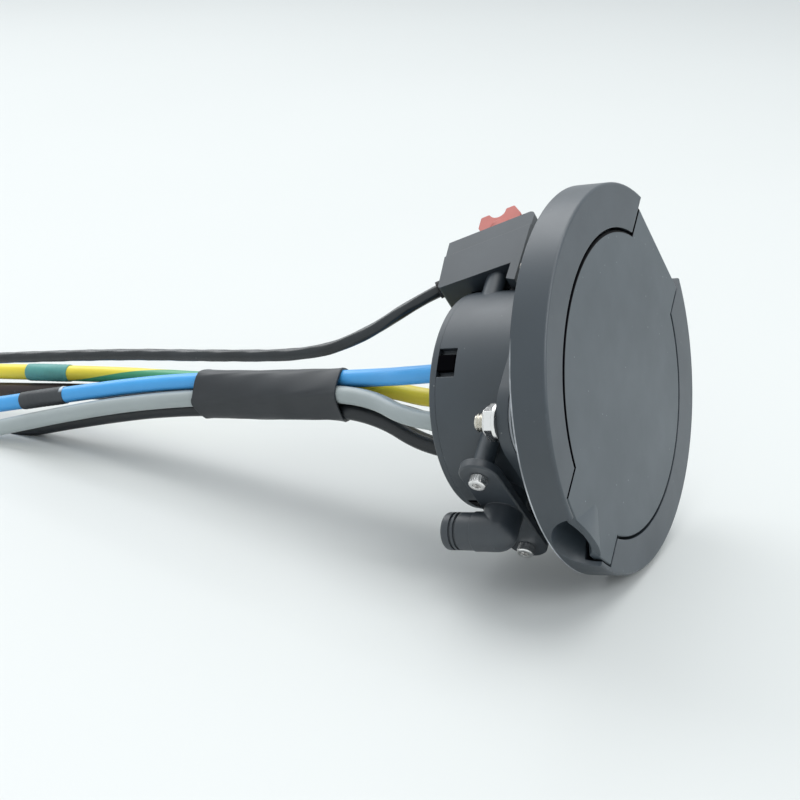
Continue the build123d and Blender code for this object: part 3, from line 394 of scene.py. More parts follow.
# finishes: colours are linear
moulded = {"grain": 0.0004, "bump": 0.2, "wear": 0.5, "sheen": 0.8}
insulation = {"grain": 0.0008, "bump": 0.08, "dust": 0.15, "wear": 0.0}
shrunk = {"roughness": 0.46, "grain": 0.0005, "patches": 0.14, "wear": 0.2}
core = {"roughness": 0.4, "dust": 0.1, "wear": 0.0}
skins = {
    "bezelPlastic": {
        "colour": (0.031, 0.043, 0.055), "roughness": 0.41, **moulded, "grain": 0.0006, "bump": 0.4,
        "patch": (rubbedRim, (0.60, 0.63, 0.66), 0.0, False),
    },
    "lidPlastic": {
        "colour": (0.047, 0.063, 0.076), "roughness": 0.45, "dust": 0.8, **moulded,
        "patch": (shadedGap, (0.002, 0.002, 0.003), 0.2, True),
    },
    "housingPlastic": {"colour": (0.034, 0.046, 0.058), "roughness": 0.47, "patches": 0.14, **moulded},
    "capPlastic": {
        "colour": (0.034, 0.046, 0.058), "roughness": 0.47, "patches": 0.14, **moulded,
        "patch": (shadedClips, (0.002, 0.002, 0.003), 0.3, True),
    },
    "casePlastic": {
        "colour": (0.032, 0.043, 0.054), "roughness": 0.40, "patches": 0.18, **moulded,
        "wear": 0.12, "edge": 0.0002,
    },
    "drainPlastic": {"colour": (0.029, 0.037, 0.046), "roughness": 0.42, "patches": 0.14, **moulded},
    "carrierPlastic": {"colour": (0.040, 0.044, 0.049), "roughness": 0.50, **moulded},
    "sealRubber": {"colour": (0.018, 0.018, 0.020), "roughness": 0.7, "dust": 0.8, "wear": 0.1},
    "gasketFoam": {"colour": (0.50, 0.53, 0.56), "roughness": 0.8, "grain": 0.0006, "bump": 0.5, "wear": 0.0},
    "knobPlastic": {"colour": (0.54, 0.16, 0.135), "roughness": 0.5, "wear": 0.25, "dust": 0.3},
    "blueInsulation": {"colour": (0.090, 0.455, 0.950), "roughness": 0.34, "patches": 0.05, **insulation},
    "greyInsulation": {"colour": (0.430, 0.480, 0.480), "roughness": 0.38, "patches": 0.05, **insulation},
    "blackInsulation": {"colour": (0.012, 0.015, 0.018), "roughness": 0.40, "patches": 0.12, **insulation},
    "brownInsulation": {"colour": (0.040, 0.024, 0.020), "roughness": 0.42, "patches": 0.08, **insulation},
    "shrinkSleeve": {"colour": (0.036, 0.040, 0.045), **shrunk},
    "greyMarker": {
        "colour": (0.055, 0.060, 0.066), **shrunk,
        # the patch is a painted highlight at the marker's near end
        "patch": (paintedLipHighlight, (0.70, 0.80, 0.88), 0.0, False),
    },
    "tealMarker": {"colour": (0.105, 0.360, 0.330), **shrunk},
    "cableJacket": {
        "colour": (0.018, 0.022, 0.025), "roughness": 0.24, "grain": 0.0012, "bump": 0.7, "patches": 0.5,
        "dust": 0.3, "wear": 0.0, "sheen": 0.5,
    },
    "whiteCore": {"colour": (0.72, 0.72, 0.70), **core},
    "redCore": {"colour": (0.60, 0.03, 0.025), **core},
    "greenCore": {"colour": (0.03, 0.28, 0.08), **core},
    "violetCore": {"colour": (0.16, 0.04, 0.30), **core},
}
skins["earthInsulation"] = {
    "colour": (0.94, 0.76, 0.06), "roughness": 0.36, "patches": 0.05, **insulation,
    "stripe": {"Ground": (0.94, 0.76, 0.06, 1), "Stripe": (0.06, 0.36, 0.17, 1), "Width": 0.35},
}
metals = {
    "studSteel": {"colour": (0.74, 0.71, 0.64), "roughness": 0.20},
    "nutSteel": {"colour": (0.84, 0.83, 0.82), "roughness": 0.20},
    "pinSteel": {"colour": (0.62, 0.62, 0.63), "roughness": 0.25},
    "springSteel": {"colour": (0.45, 0.45, 0.46), "roughness": 0.30},
    "silverPlate": {"colour": (0.88, 0.87, 0.83), "roughness": 0.22},
    "motorCan": {"colour": (0.62, 0.63, 0.65), "roughness": 0.30},
    "copperStrand": {"colour": (0.87, 0.46, 0.30), "roughness": 0.28, "stain": (0.45, 0.20, 0.12)},
}
finishes = {name: skinMaterial(name, **values) for name, values in skins.items()}
finishes |= {name: metalMaterial(name, **values) for name, values in metals.items()}

nodeFinish = {
    "front_bezel": "bezelPlastic", "flap_lid": "lidPlastic", "lid_seal": "sealRubber",
    "hinge_pin": "pinSteel", "lid_spring": "springSteel",
    "socket_housing": "housingPlastic", "flange_gasket": "gasketFoam", "rear_cap": "capPlastic",
    "contact_carrier": "carrierPlastic", "contact_retainer": "carrierPlastic",
    "panel_studs": "studSteel", "panel_washers": "nutSteel", "panel_nuts": "nutSteel",
    "drain_elbow": "drainPlastic", "drain_gasket": "sealRubber", "drain_screws": "nutSteel",
    "actuator_base": "casePlastic", "actuator_cover": "casePlastic", "release_knob": "knobPlastic",
    "lock_pin": "pinSteel", "lock_motor": "motorCan", "bundle_sleeve": "shrinkSleeve",
    "control_cable": "cableJacket", "cable_grommet": "sealRubber",
    "marker_neutral": "greyMarker", "marker_earth": "tealMarker",
    "wire_neutral": "blueInsulation", "wire_l3": "greyInsulation", "wire_l2": "blackInsulation",
    "wire_l1": "brownInsulation", "wire_earth": "earthInsulation",
}
for name, obj in nodes.items():
    obj.data.materials.clear()
    obj.data.materials.append(finishes[nodeFinish.get(name, "silverPlate")])
print("materials on every node")


# surfaces on grids
uvPerMetre = 100


def anglesRound(columns):
    # evenly spaced angles of one whole turn
    return np.arange(columns) * 2 * np.pi / columns


def nearEnds(share, reach):
    # one at both ends, and dying away from them as the exponential of minus the distance over the reach
    return np.exp(-share / reach) + np.exp(-(1 - share) / reach)


def gridShell(points, ringed=False, along=None, turned=None):
    # points is rows by columns by 3, and the columns always join round. ringed joins the last row to the
    # first; otherwise a fan closes each end at the mean of its row. The UVs are along, a value for each row,
    # and the share of the way round less turned, also for each row.
    rows, columns = points.shape[:2]
    index = np.arange(rows * columns).reshape(rows, columns)
    here = index if ringed else index[:-1]
    there = np.roll(index, -1, axis=0) if ringed else index[1:]
    quads = np.stack([here, np.roll(here, -1, 1), np.roll(there, -1, 1), there], -1).reshape(-1, 4)
    verts, fans = points.reshape(-1, 3), np.empty((0, 3), int)
    if not ringed:
        verts = np.vstack([verts, points[0].mean(0), points[-1].mean(0)])
        tip = np.full(columns, rows * columns)
        first = np.stack([np.roll(index[0], -1), index[0], tip], -1)
        last = np.stack([index[-1], np.roll(index[-1], -1), tip + 1], -1)
        fans = np.vstack([first, last])
    rowValue = np.zeros(rows) if along is None else np.asarray(along, float)
    rowTurn = np.zeros(rows) if turned is None else np.asarray(turned, float)
    i, j = np.divmod(quads, columns)
    j = np.where((j == 0) & (np.arange(4) % 3 != 0), columns, j)
    uvs = np.stack([rowValue[i], j / columns - rowTurn[i]], -1).reshape(-1, 2)
    uvs = np.vstack([uvs, np.zeros((fans.size, 2))])
    # six times the signed volume of the closed shape, below zero where the faces point inwards
    middle = verts.mean(0)
    tris = np.vstack([quads[:, :3], quads[:, [0, 2, 3]], fans])
    a, b, c = (verts[tris[:, k]] - middle for k in range(3))
    if np.einsum("ij,ij->", a, np.cross(b, c)) < 0:
        quads, fans = quads[:, ::-1], fans[:, ::-1]
        split = quads.size
        uvs = np.vstack([uvs[:split].reshape(-1, 4, 2)[:, ::-1].reshape(-1, 2), uvs[split:]])
    return verts, quads, fans, uvs


def newPiece(name, shells, material, body="bezel", replaces=(), sharp=35.0):
    # one mesh from closed shells that don't share points
    offsets = np.cumsum([0] + [len(s[0]) for s in shells])
    quads = np.vstack([s[1] + o for s, o in zip(shells, offsets)])
    fans = np.vstack([s[2] + o for s, o in zip(shells, offsets)])
    quadUvs = np.vstack([s[3][: s[1].size] for s in shells])
    fanUvs = np.vstack([s[3][s[1].size :] for s in shells])
    mesh = bpy.data.meshes.new(name)
    mesh.vertices.add(offsets[-1])
    mesh.vertices.foreach_set("co", np.vstack([s[0] for s in shells]).ravel())
    mesh.loops.add(quads.size + fans.size)
    mesh.loops.foreach_set("vertex_index", np.concatenate([quads.ravel(), fans.ravel()]).astype(np.int32))
    mesh.polygons.add(len(quads) + len(fans))
    starts = np.concatenate([np.arange(len(quads)) * 4, quads.size + np.arange(len(fans)) * 3])
    mesh.polygons.foreach_set("loop_start", starts.astype(np.int32))
    mesh.update(calc_edges=True)
    mesh.uv_layers.new(name="along").data.foreach_set("uv", np.vstack([quadUvs, fanUvs]).ravel())
    mesh.validate()
    mesh.shade_smooth()
    mesh.set_sharp_from_angle(angle=math.radians(sharp))
    mesh.materials.append(material)
    obj = bpy.data.objects.new(name, mesh)
    bpy.context.scene.collection.objects.link(obj)
    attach(obj, body)
    if replaces:
        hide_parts(*replaces)
    return obj


def routeLine(points, count):
    # the smooth line of a NURBS spline through control points, read with no bevel, then spaced evenly
    curve = bpy.data.curves.new("route", "CURVE")
    curve.dimensions = "3D"
    spline = curve.splines.new("NURBS")
    spline.points.add(len(points) - 1)
    spline.points.foreach_set("co", np.c_[np.array(points), np.ones(len(points))].ravel())
    spline.order_u = 3
    spline.use_endpoint_u = True
    spline.resolution_u = 32
    carrier = bpy.data.objects.new("route", curve)
    mesh = bpy.data.meshes.new_from_object(carrier)
    line = np.empty(len(mesh.vertices) * 3)
    mesh.vertices.foreach_get("co", line)
    line = line.reshape(-1, 3)
    bpy.data.objects.remove(carrier)
    bpy.data.meshes.remove(mesh)
    reach = np.concatenate([[0], np.cumsum(np.linalg.norm(np.diff(line, axis=0), axis=1))])
    even = np.linspace(0, reach[-1], count)
    return np.stack([np.interp(even, reach, line[:, k]) for k in range(3)], -1), float(reach[-1])


def lineFrame(line, length, s):
    # the point of the line at each length s, the tangent crossed with +Z, and that crossed with the tangent
    even = np.linspace(0, length, len(line))
    slopes = np.gradient(line, axis=0)
    centre = np.stack([np.interp(s, even, line[:, k]) for k in range(3)], -1)
    tangent = np.stack([np.interp(s, even, slopes[:, k]) for k in range(3)], -1)
    tangent /= np.linalg.norm(tangent, axis=1)[:, None]
    side = np.cross(tangent, (0.0, 0.0, 1.0))
    side /= np.linalg.norm(side, axis=1)[:, None]
    return centre, side, np.cross(side, tangent)


def tubePoints(line, length, s, radius, columns):
    # at each s a ring square to the line: centre + radius x (cosine x side + sine x over)
    centre, side, over = lineFrame(line, length, s)
    angle = anglesRound(columns)
    ring = np.cos(angle)[None, :, None] * side[:, None] + np.sin(angle)[None, :, None] * over[:, None]
    radius = np.asarray(radius, float)
    radius = radius[:, None] if radius.ndim == 1 else radius
    return centre[:, None] + radius[..., None] * ring


# power leads: their routes run through the points of part.py, in metres, the last ones moved on a little
leads = {
    "diameter": 0.0062,
    "ring": 0.00552,
    "twist": 29.0,
    "start": 0.034,
    "drop": 0.007,
    "contacts": {
        "neutral": (-0.017, 0.0), "l1": (0.017, 0.0), "earth": (0.0, 0.0),
        "l3": (-0.0085, -0.014722), "l2": (0.0085, -0.014722),
    },
    "angles": {"neutral": 138, "l3": 210, "l2": 282, "l1": 354, "earth": 66},
    "bow": {"neutral": 0.0012, "l3": 0.0005, "l2": 0.0008, "l1": 0.0005, "earth": 0.0},
    "bundle": [(0.0, 0.083, -0.0026), (0.0, 0.122, -0.0017), (0.0, 0.164, 0.0010)],
    "fan": {
        "neutral": ((-0.0070, 0.208, -0.0026), (-0.0089, 0.258, -0.0099)),
        "l3": ((-0.0050, 0.208, -0.0096), (-0.0062, 0.254, -0.0200)),
        "l2": ((0.0040, 0.208, -0.0064), (0.0052, 0.260, -0.0138)),
        "l1": ((0.0050, 0.210, 0.0064), (-0.0020, 0.264, 0.0040)),
        "earth": ((0.0, 0.210, 0.0114), (-0.0060, 0.264, 0.0105)),
    },
    "stations": 220,
    "columns": 40,
    "edge": 0.0001,
    "inside": 0.001,
    "rounding": 0.0002,
    "cutRounding": (0.00004, 0.0003),
    "tuck": 0.0006,
    "unevenness": 0.00002,
    "unevenWaves": (260, 71),
    "stripped": 0.003,
    "coreRadius": 0.0018,
    "coreRounding": 0.0003,
    "coreTuck": 0.0008,
    "corePlay": 0.00004,
    "strands": 16,
    "strandDepth": 0.00024,
    "strandPitch": 0.045,
    "strandStations": 26,
    "strandColumns": 96,
    "finish": {
        "neutral": "blueInsulation", "l3": "greyInsulation", "l2": "blackInsulation",
        "l1": "brownInsulation", "earth": "earthInsulation",
    },
    "slot": {
        "neutral": "wire_blue", "l3": "wire_grey", "l2": "wire_black",
        "l1": "wire_brown", "earth": "wire_yellow_green",
    },
    # where the earth lead's green stripe begins round the lead, in turns, at a few lengths in metres
    "stripeAt": (0.0, 0.040, 0.070, 0.110, 0.140, 0.164, 0.188, 0.200, 0.235),
    "stripeTurn": (-0.20, -0.10, -0.06, 0.12, 0.36, 0.55, 0.76, 0.86, 1.00),
}


def leadPoints(name):
    x, z = leads["contacts"][name]
    z -= leads["drop"]
    points = [(x, leads["start"], z), (x, leads["start"] + 0.02, z - leads["bow"][name])]
    for step, (bx, by, bz) in enumerate(leads["bundle"]):
        angle = math.radians(leads["angles"][name] + leads["twist"] * step / 2)
        points.append((bx + leads["ring"] * math.cos(angle), by, bz + leads["ring"] * math.sin(angle)))
    return points + list(leads["fan"][name])


def insulationShell(line, length):
    # a tube with rounded ends whose radius swings a little, as the product of two sines of the length. At the
    # free end it turns in to the copper and a little way back along it.
    radius, copper = leads["diameter"] / 2, leads["coreRadius"]
    rounding, tuck = leads["rounding"], leads["tuck"]
    slow, quick = leads["unevenWaves"]
    cut = length - leads["stripped"]
    stations = np.linspace(leads["inside"], cut - tuck, leads["stations"])
    s = np.concatenate([[0, leads["edge"]], stations, [cut - rounding, cut, cut, cut - tuck]])
    r = radius + leads["unevenness"] * np.sin(s * slow) * np.sin(s * quick)
    r[0] = radius - rounding
    slight, full = leads["cutRounding"]
    r[-4:] = radius - slight, radius - full, copper + leads["edge"], copper
    turned = np.interp(s, leads["stripeAt"], leads["stripeTurn"])
    return gridShell(tubePoints(line, length, s, r, leads["columns"]), along=s * uvPerMetre, turned=turned)


def strandShell(line, length):
    # the radius ripples with one crest for each outer strand, as the size of a cosine of half the strands
    # times the angle, and the crests turn along the core
    columns, rounding = leads["strandColumns"], leads["coreRounding"]
    begin = length - leads["stripped"] - leads["coreTuck"]
    stations = np.linspace(begin, length - rounding, leads["strandStations"])
    s = np.concatenate([stations, [length - leads["edge"], length]])
    angle = anglesRound(columns)
    turned = angle[None] - 2 * np.pi * s[:, None] / leads["strandPitch"]
    crest = np.abs(np.cos(leads["strands"] / 2 * turned))
    r = leads["coreRadius"] - leads["corePlay"] - leads["strandDepth"] * (1 - crest)
    r[-1] -= rounding
    return gridShell(tubePoints(line, length, s, r, columns))


# the points read along each lead and cable
lineSamples = 260
leadLines = {name: routeLine(leadPoints(name), lineSamples) for name in leads["contacts"]}
leadObjects, leadPieces = {}, {}
for name, (line, length) in leadLines.items():
    leadObjects[name] = newPiece(
        "lead_" + name, [insulationShell(line, length)], finishes[leads["finish"][name]],
        replaces=("wire_" + name,),
    )
    copper = newPiece(
        "copper_" + name, [strandShell(line, length)], finishes["copperStrand"],
        sharp=70.0,
    )
    leadPieces[name] = [copper]
print("power leads laid")

# heat-shrink sleeve round the five leads
sleeve = {
    "start": 0.0922,
    "end": 0.1542,
    "wall": 0.00065,
    "room": 0.00004,
    "softness": 2600.0,
    "folds": 0.00010,
    "creases": 0.00005,
    "lip": 0.00022,
    "lipReach": 0.02,
    "rimBulge": 0.00012,
    "askew": (0.0006, 0.0007),
    "columns": 96,
    "stations": 90,
}


def sleeveShell():
    # the outline at each station is the five leads' support function: the softened greatest reach of their
    # centres in each direction, plus a radius. The outline's point lies that far along the direction, and
    # across it by the slope of the reach over the angle.
    y = np.linspace(sleeve["start"], sleeve["end"], sleeve["stations"])
    centres = np.stack([
        np.stack([np.interp(y, line[:, 1], line[:, k]) for k in (0, 2)], -1) for line, _ in leadLines.values()
    ])
    middle = centres.mean(0)
    angle = anglesRound(sleeve["columns"])
    outward = np.stack([np.cos(angle), np.sin(angle)], -1)
    across = np.stack([-np.sin(angle), np.cos(angle)], -1)
    reach = np.einsum("wsk,ak->wsa", centres - middle, outward)
    slide = np.einsum("wsk,ak->wsa", centres - middle, across)
    weight = np.exp((reach - reach.max(0)) * sleeve["softness"])
    base = reach.max(0) + np.log(weight.sum(0)) / sleeve["softness"] + leads["diameter"] / 2 + sleeve["room"]
    slope = (weight * slide).sum(0) / weight.sum(0)
    share = np.linspace(0, 1, len(y))[:, None]
    # five wide folds and eleven narrow creases run with the leads, as sines of the angle that turn with the
    # share of the length. The lips stand up a little and die away from both ends, which are cut askew.
    creases = sleeve["folds"] * np.sin(5 * angle + 9 * share) * np.sin(3.1 * share + 1)
    creases += sleeve["creases"] * np.sin(11 * angle - 23 * share)
    lips = sleeve["lip"] * nearEnds(share, sleeve["lipReach"])
    near, far = sleeve["askew"]
    askew = near * np.sin(angle + 0.7) * (1 - share) ** 6 + far * np.sin(angle * 2 - 1) * share**6

    def outline(grow):
        flat = middle[:, None] + (base + grow)[..., None] * outward + slope[..., None] * across
        return np.stack([flat[..., 0], y[:, None] + askew, flat[..., 1]], -1)

    outer, inner = outline(sleeve["wall"] + creases + lips), outline(0.0)
    rim = 0.5 * (outer + inner)
    bulge = np.array([0, sleeve["rimBulge"], 0])
    return gridShell(np.concatenate([outer, rim[-1:] + bulge, inner[::-1], rim[:1] - bulge]), ringed=True)


leadPieces["neutral"].append(newPiece(
    "sleeveSkin", [sleeveShell()], finishes["shrinkSleeve"],
    replaces=("bundle_sleeve",), sharp=50.0,
))
print("sleeve shrunk on")

# marker sleeves on the blue and the earth lead
markers = {
    "length": 0.0200,
    "wall": 0.00036,
    "room": 0.00003,
    "thinning": 0.00012,
    "thinReach": 0.03,
    "rings": 0.00003,
    "creases": 0.00002,
    "stations": 60,
    "columns": 48,
    "from": {"neutral": 0.2150, "earth": 0.2236},
    "finish": {"neutral": "greyMarker", "earth": "tealMarker"},
    "slot": {"neutral": "marker_shrink", "earth": "marker_green"},
}


def markerShell(name):
    # a thin wall along the lead, thinner at its ends. Its faint rings are a sine of the share of the length,
    # and its creases a sine of the angle that turns with that share.
    stations, columns = markers["stations"], markers["columns"]
    line, length = leadLines[name]
    begin = np.interp(markers["from"][name], line[:, 1], np.linspace(0, length, len(line)))
    share = np.linspace(0, 1, stations)[:, None]
    s = begin + share[:, 0] * markers["length"]
    angle = anglesRound(columns)
    thinned = markers["thinning"] * nearEnds(share, markers["thinReach"])
    creases = markers["rings"] * np.sin(60 * share + 2 * np.cos(angle))
    creases += markers["creases"] * np.sin(7 * angle + 8 * share)
    outer = leads["diameter"] / 2 + markers["wall"] - thinned + creases
    inner = np.full((stations, columns), leads["diameter"] / 2 + markers["room"])
    s, r = np.concatenate([s, s[::-1]]), np.concatenate([outer, inner[::-1]])
    return gridShell(tubePoints(line, length, s, r, columns), ringed=True)


for name in markers["from"]:
    leadPieces[name].append(newPiece(
        "markerSkin_" + name, [markerShell(name)], finishes[markers["finish"][name]],
        replaces=("marker_" + name,),
    ))
for name, obj in leadObjects.items():
    line, length = leadLines[name]
print("marker sleeves on")

# control cable
cable = {
    "diameter": 0.0043,
    "points": [
        (-0.0256, 0.0436, 0.0240),
        (-0.0266, 0.0550, 0.0172),
        (-0.0270, 0.0732, 0.0010),
        (-0.0270, 0.0920, -0.0056),
        (-0.0272, 0.1300, -0.0042),
        (-0.0270, 0.1840, -0.0004),
        (-0.0261, 0.2470, 0.0010),
    ],
    "stations": 300,
    "columns": 36,
    "edge": 0.0001,
    "inside": 0.001,
    "rounding": 0.0002,
    "wall": 0.0006,
    "tuck": 0.0008,
    "stripped": 0.003,
    "play": 0.00006,
    "lobes": 4,
    "lobeHeight": 0.00005,
    "lobePitch": 0.06,
    "ripple": 0.00002,
    "rippleWaves": 900,
    "coreAngles": {"white": 0.0, "red": 90.0, "green": 180.0, "violet": 270.0},
    "coreRadius": 0.00058,
    "coreRing": 0.00086,
    "coreSpread": 0.35,
    "corePitch": 0.03,
    "coreTuck": 0.0007,
    "coreShort": 0.0004,
    "coreStations": 40,
    "coreColumns": 16,
    "rodStations": 20,
    "wireRadius": 0.00028,
    "wireBare": 0.0010,
    "wireTuck": 0.0005,
    "wireStations": 8,
    "wireColumns": 12,
}


def jacketShell(line, length):
    # the cores press the jacket out in shallow lobes that turn along it, one crest of a cosine for each core,
    # and a sine of the length ripples it. The free end turns in and back.
    radius, edge, rounding = cable["diameter"] / 2, cable["edge"], cable["rounding"]
    cut = length - cable["stripped"]
    stations = np.linspace(cable["inside"], cut - cable["inside"] / 2, cable["stations"])
    s = np.concatenate([[0, edge], stations, [cut - edge, cut, cut, cut - cable["tuck"]]])
    angle = anglesRound(cable["columns"])
    lobes = np.cos(cable["lobes"] * (angle - 2 * np.pi * s[:, None] / cable["lobePitch"]))
    ripple = cable["ripple"] * np.sin(s * cable["rippleWaves"])
    r = radius - cable["play"] + cable["lobeHeight"] * lobes + ripple[:, None]
    r[0] -= rounding
    r[-3:] = np.array([radius - rounding, radius - cable["wall"], radius - cable["wall"]])[:, None]
    return gridShell(tubePoints(line, length, s, r, cable["columns"]), along=s * uvPerMetre)


def coreLine(line, length, degrees):
    # a helix round the cable's line, whose ring widens past the cut jacket with the square of the way out
    cut = length - cable["stripped"]
    end = length - cable["wireBare"] - cable["coreShort"]
    s = np.linspace(cut - cable["coreTuck"], end, cable["coreStations"])
    centre, side, over = lineFrame(line, length, s)
    spread = cable["coreRing"] * (1 + cable["coreSpread"] * np.clip((s - cut) / cable["stripped"], 0, 1) ** 2)
    phase = np.radians(degrees) - 2 * np.pi * s / cable["corePitch"]
    path = centre + spread[:, None] * (np.cos(phase)[:, None] * side + np.sin(phase)[:, None] * over)
    return path, float(np.linalg.norm(np.diff(path, axis=0), axis=1).sum())


def roundedRod(path, length, radius, columns):
    # a rod with a small chamfer at both ends
    chamfer = cable["edge"]
    s = np.concatenate([[0.0], np.linspace(chamfer, length - chamfer, cable["rodStations"]), [length]])
    r = np.full(len(s), radius)
    r[[0, -1]] = radius - chamfer
    return gridShell(tubePoints(path, length, s, r, columns))


line, length = routeLine(cable["points"], lineSamples)
jacket = newPiece(
    "signalLead", [jacketShell(line, length)], finishes["cableJacket"],
    replaces=("control_cable",),
)
wireLength = cable["wireBare"] + cable["wireTuck"]
corePieces, tips = [], []
for colour, degrees in cable["coreAngles"].items():
    path, pathLength = coreLine(line, length, degrees)
    rod = roundedRod(path, pathLength, cable["coreRadius"], cable["coreColumns"])
    corePieces.append(newPiece("core_" + colour, [rod], finishes[colour + "Core"]))
    onward = unit(path[-1] - path[-2])
    reach = np.linspace(-cable["wireTuck"], cable["wireBare"], cable["wireStations"])
    tip = path[-1] + reach[:, None] * onward
    tips.append(roundedRod(tip, wireLength, cable["wireRadius"], cable["wireColumns"]))
corePieces.append(newPiece("coreTips", tips, finishes["copperStrand"]))
print("control cable laid")

# threaded studs
studs = {
    "radius": 0.003,
    "pitch": 0.001,
    "depth": 0.00058,
    "spot": 0.030,
    "drop": 0.007,
    "from": -0.0029,
    "threadFrom": 0.0098,
    "to": 0.019,
    "chamfer": 0.0007,
    "plainRows": 6,
    "rowsPerTurn": 12,
    "columns": 40,
}

# a thread's wave: its slope, its flat crest, the length over which it begins and the play round it
thread = {"steepness": 1.25, "crest": 0.12, "fadeIn": 0.0006, "play": 0.00003}


def threadRadius(along, angle, size):
    # a triangle wave of the length, cut flat at crest and root, whose phase moves on by one pitch in one turn
    phase = (along[:, None] / size["pitch"] - angle / (2 * np.pi)) % 1
    groove = np.clip(np.abs(phase * 2 - 1) * thread["steepness"] - thread["crest"], 0, 1)
    fade = np.clip((along - size["threadFrom"]) / thread["fadeIn"], 0, 1)[:, None]
    return size["radius"] - thread["play"] - size["depth"] * groove * fade


def studShell(x, z):
    # a plain length and a threaded one. Nearer an end than the chamfer, the radius is less by the difference.
    plain = np.linspace(studs["from"], studs["threadFrom"], studs["plainRows"])
    threaded = np.arange(studs["threadFrom"], studs["to"], studs["pitch"] / studs["rowsPerTurn"])
    y = np.concatenate([plain[:-1], threaded, [studs["to"]]])
    angle = anglesRound(studs["columns"])
    fromEnd = np.minimum(studs["to"] - y, y - studs["from"])
    coned = studs["radius"] - np.clip(studs["chamfer"] - fromEnd, 0, None)
    r = np.minimum(threadRadius(y, angle, studs), coned[:, None])
    y = np.broadcast_to(y[:, None], r.shape)
    return gridShell(np.stack([x + r * np.cos(angle), y, z + r * np.sin(angle)], -1))


spots = [(sx * studs["spot"], sz * studs["spot"] - studs["drop"]) for sx in (-1, 1) for sz in (-1, 1)]
newPiece(
    "threadedStuds", [studShell(x, z) for x, z in spots], finishes["studSteel"],
    replaces=("panel_studs",), sharp=28.0,
)

# socket-head screws of the drain elbow
screws = {
    "radius": 0.0015,
    "pitch": 0.0005,
    "depth": 0.00028,
    "threadFrom": 0.0006,
    "shank": 0.011,
    "headRadius": 0.00275,
    "headHeight": 0.003,
    "hexFlats": 0.0025,
    "hexDepth": 0.0016,
    "knurls": 24,
    "knurlDepth": 0.00007,
    "rounding": 0.0002,
    "chamfer": 0.0004,
    "holeRounding": 0.0001,
    "drillPoint": (0.0006, 0.0003),
    "seat": -0.0506,
    "y": 0.019,
    "pitchX": 0.040,
    "rowsPerTurn": 8,
    "columns": 72,
}


def screwShell(x):
    # one profile turned round: down the threaded shank, out under the head, down its knurled side, in over
    # the face and up the hexagonal hole. The hole's radius is half its flats over the cosine of the angle
    # from the nearest flat's middle, and the knurls are a cosine of the angle.
    columns = screws["columns"]
    angle = anglesRound(columns)
    shank = np.arange(screws["shank"], screws["threadFrom"], -screws["pitch"] / screws["rowsPerTurn"])
    coned = screws["radius"] - np.clip(screws["chamfer"] - screws["shank"] + shank, 0, None)
    threaded = np.minimum(threadRadius(shank, angle, screws), coned[:, None])
    radius, head, chamfer, rounding = (screws[key] for key in ("radius", "headRadius", "chamfer", "rounding"))
    high, deep, lip = screws["headHeight"], screws["hexDepth"], screws["holeRounding"]
    drill, point = screws["drillPoint"]
    knurl = head - screws["knurlDepth"] + screws["knurlDepth"] * np.cos(screws["knurls"] * angle)
    hexagon = screws["hexFlats"] / 2 / np.cos((angle + np.pi / 6) % (np.pi / 3) - np.pi / 6)
    # the rings of the head: the radius, and how far below the seat
    rings = [
        (radius, 0.0),
        (radius + chamfer, 0.0),
        (head - rounding, 0.0),
        (head, rounding),
        (knurl, rounding * 2),
        (knurl, high - chamfer - rounding),
        (head - rounding / 4, high - chamfer),
        (head - chamfer, high),
        (hexagon + lip * 1.2, high),
        (hexagon, high - lip),
        (hexagon, high - deep / 2),
        (hexagon, high - deep),
        (drill, high - (deep + point)),
    ]
    r = np.vstack([threaded] + [np.broadcast_to(ring, columns) for ring, _ in rings])
    z = np.concatenate([shank, [-below for _, below in rings]])[:, None] + screws["seat"]
    y = screws["y"] + r * np.sin(angle)
    return gridShell(np.stack([x + r * np.cos(angle), y, np.broadcast_to(z, r.shape)], -1))


newPiece(
    "socketScrews", [screwShell(sx * screws["pitchX"] / 2) for sx in (-1, 1)], finishes["nutSteel"],
    replaces=("drain_screws",), sharp=28.0,
)
print("studs and screws cut")

# table and light
table = {
    "up": (-0.7947, -0.2056, 0.5716),
    "height": -0.0611,
    "cloudScale": 3.0,
    "size": 8.0,
    "middle": (0.0, 0.05, -0.02),
    "fade": (1.5, 2.6),
    "colours": ((0.725, 0.745, 0.730, 1), (0.755, 0.775, 0.760, 1)),
    "roughness": 0.45,
}
# up is square to the table, away lies along it and leads away from the camera, and aside is square to both
tableUp = unit(table["up"])
away = unit(-camBack + tableUp * np.dot(camBack, tableUp))
aside = np.cross(away, tableUp)


def tableMaterial():
    # the table isn't there when seen from below, and it thins out far from the object, into the sky's colour
    material, tree, shader = newMaterial("paleTable")
    place = addNode(tree, "ShaderNodeTexCoord").outputs["Object"]
    cloud = noise(tree, place, table["cloudScale"], detail=3.0, roughness=0.5)
    tree.links.new(mixed(tree, cloud, *table["colours"]), shader.inputs["Base Color"])
    shader.inputs["Roughness"].default_value = table["roughness"]
    through = addNode(tree, "ShaderNodeBsdfTransparent").outputs[0]
    behind = addNode(tree, "ShaderNodeNewGeometry").outputs["Backfacing"]
    faded = ranged(tree, lengthOf(tree, place), *table["fade"], smooth=True)
    absent = maths(tree, "MAXIMUM", behind, faded)
    both = addNode(tree, "ShaderNodeMixShader", {0: absent, 1: shader.outputs[0], 2: through}).outputs[0]
    tree.links.new(both, tree.nodes["Material Output"].inputs["Surface"])
    return material


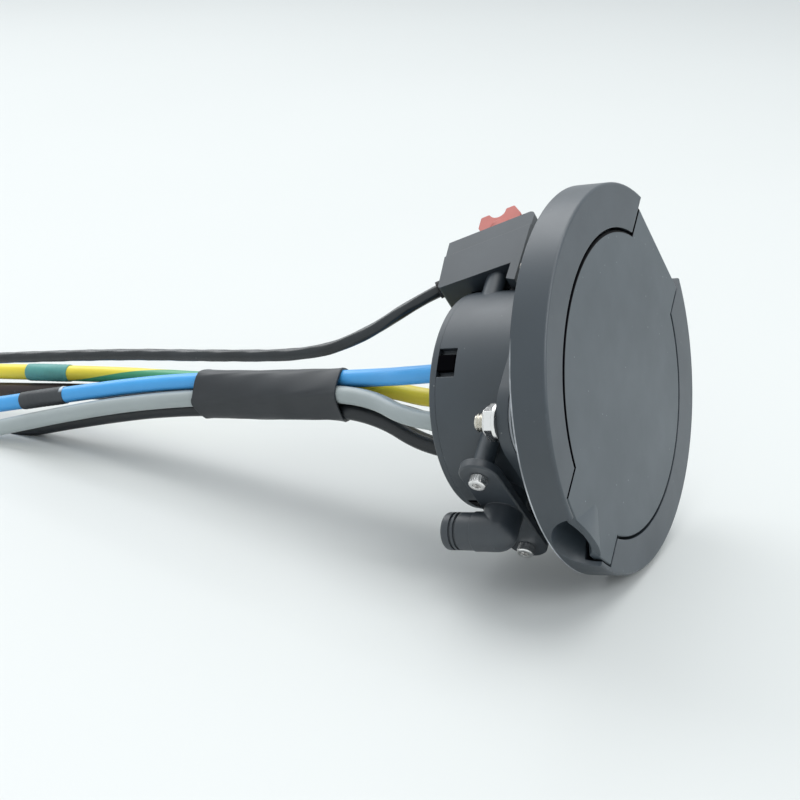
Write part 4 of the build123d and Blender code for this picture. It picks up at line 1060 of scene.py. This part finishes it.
tableMiddle = np.array(table["middle"])
tableMiddle += tableUp * (table["height"] - np.dot(tableMiddle, tableUp))
half = table["size"] / 2
corners = [tableMiddle + half * (a * aside + b * away) for a, b in ((-1, -1), (1, -1), (1, 1), (-1, 1))]
tableMesh = bpy.data.meshes.new("table")
tableMesh.from_pydata([tuple(corner) for corner in corners], [], [(0, 1, 2, 3)])
tableMesh.update()
if np.dot(tableMesh.polygons[0].normal, tableUp) < 0:
    tableMesh.flip_normals()
tableMesh.materials.append(tableMaterial())
tableObject = bpy.data.objects.new("table", tableMesh)
bpy.context.scene.collection.objects.link(tableObject)

# each lamp's place is measured aside, up and away from the target that it faces
lamps = {
    "key": {"place": (-0.63, 1.14, 1.09), "size": (1.3, 1.0), "power": 11.0, "tint": (0.98, 0.99, 1.0)},
    "top": {"place": (0.2, 1.25, 0.15), "size": (1.0, 0.9), "power": 5.7, "tint": (1.0, 1.0, 0.99)},
    "right": {"place": (1.0, 0.9, -0.7), "size": (1.0, 0.8), "power": 8.5, "tint": (0.97, 0.99, 1.0)},
}
target = np.array([0.0, 0.02, 0.0])
for name, lamp in lamps.items():
    data = bpy.data.lights.new(name, "AREA")
    data.shape = "RECTANGLE"
    data.size, data.size_y = lamp["size"]
    data.energy = lamp["power"]
    data.color = lamp["tint"]
    across, high, far = lamp["place"]
    place = target + across * aside + high * tableUp + far * away
    back = unit(place - target)
    guide = away if abs(np.dot(back, away)) < 0.9 else tableUp
    right = unit(np.cross(guide, back))
    placed(name, data, place, right, np.cross(back, right)).visible_camera = False

# the camera and mirror-like rays see one plain colour, and the rest of the light comes from another
sky = {"colour": (0.90, 0.95, 1.0, 1), "strength": 0.59, "seen": (0.84, 0.89, 0.91, 1)}
world = bpy.data.worlds.new("studio")
world.use_nodes = True
bpy.context.scene.world = world
tree = world.node_tree
tree.nodes.clear()
lit = addNode(tree, "ShaderNodeBackground", {"Color": sky["colour"], "Strength": sky["strength"]}).outputs[0]
seen = addNode(tree, "ShaderNodeBackground", {"Color": sky["seen"], "Strength": 1.0}).outputs[0]
eye = addNode(tree, "ShaderNodeLightPath").outputs
plainly = maths(tree, "MAXIMUM", eye["Is Camera Ray"], eye["Is Glossy Ray"])
both = addNode(tree, "ShaderNodeMixShader", {0: plainly, 1: lit, 2: seen}).outputs[0]
tree.links.new(both, addNode(tree, "ShaderNodeOutputWorld").inputs["Surface"])
bpy.context.scene.view_settings.view_transform = "Standard"
print("table and lamps set")
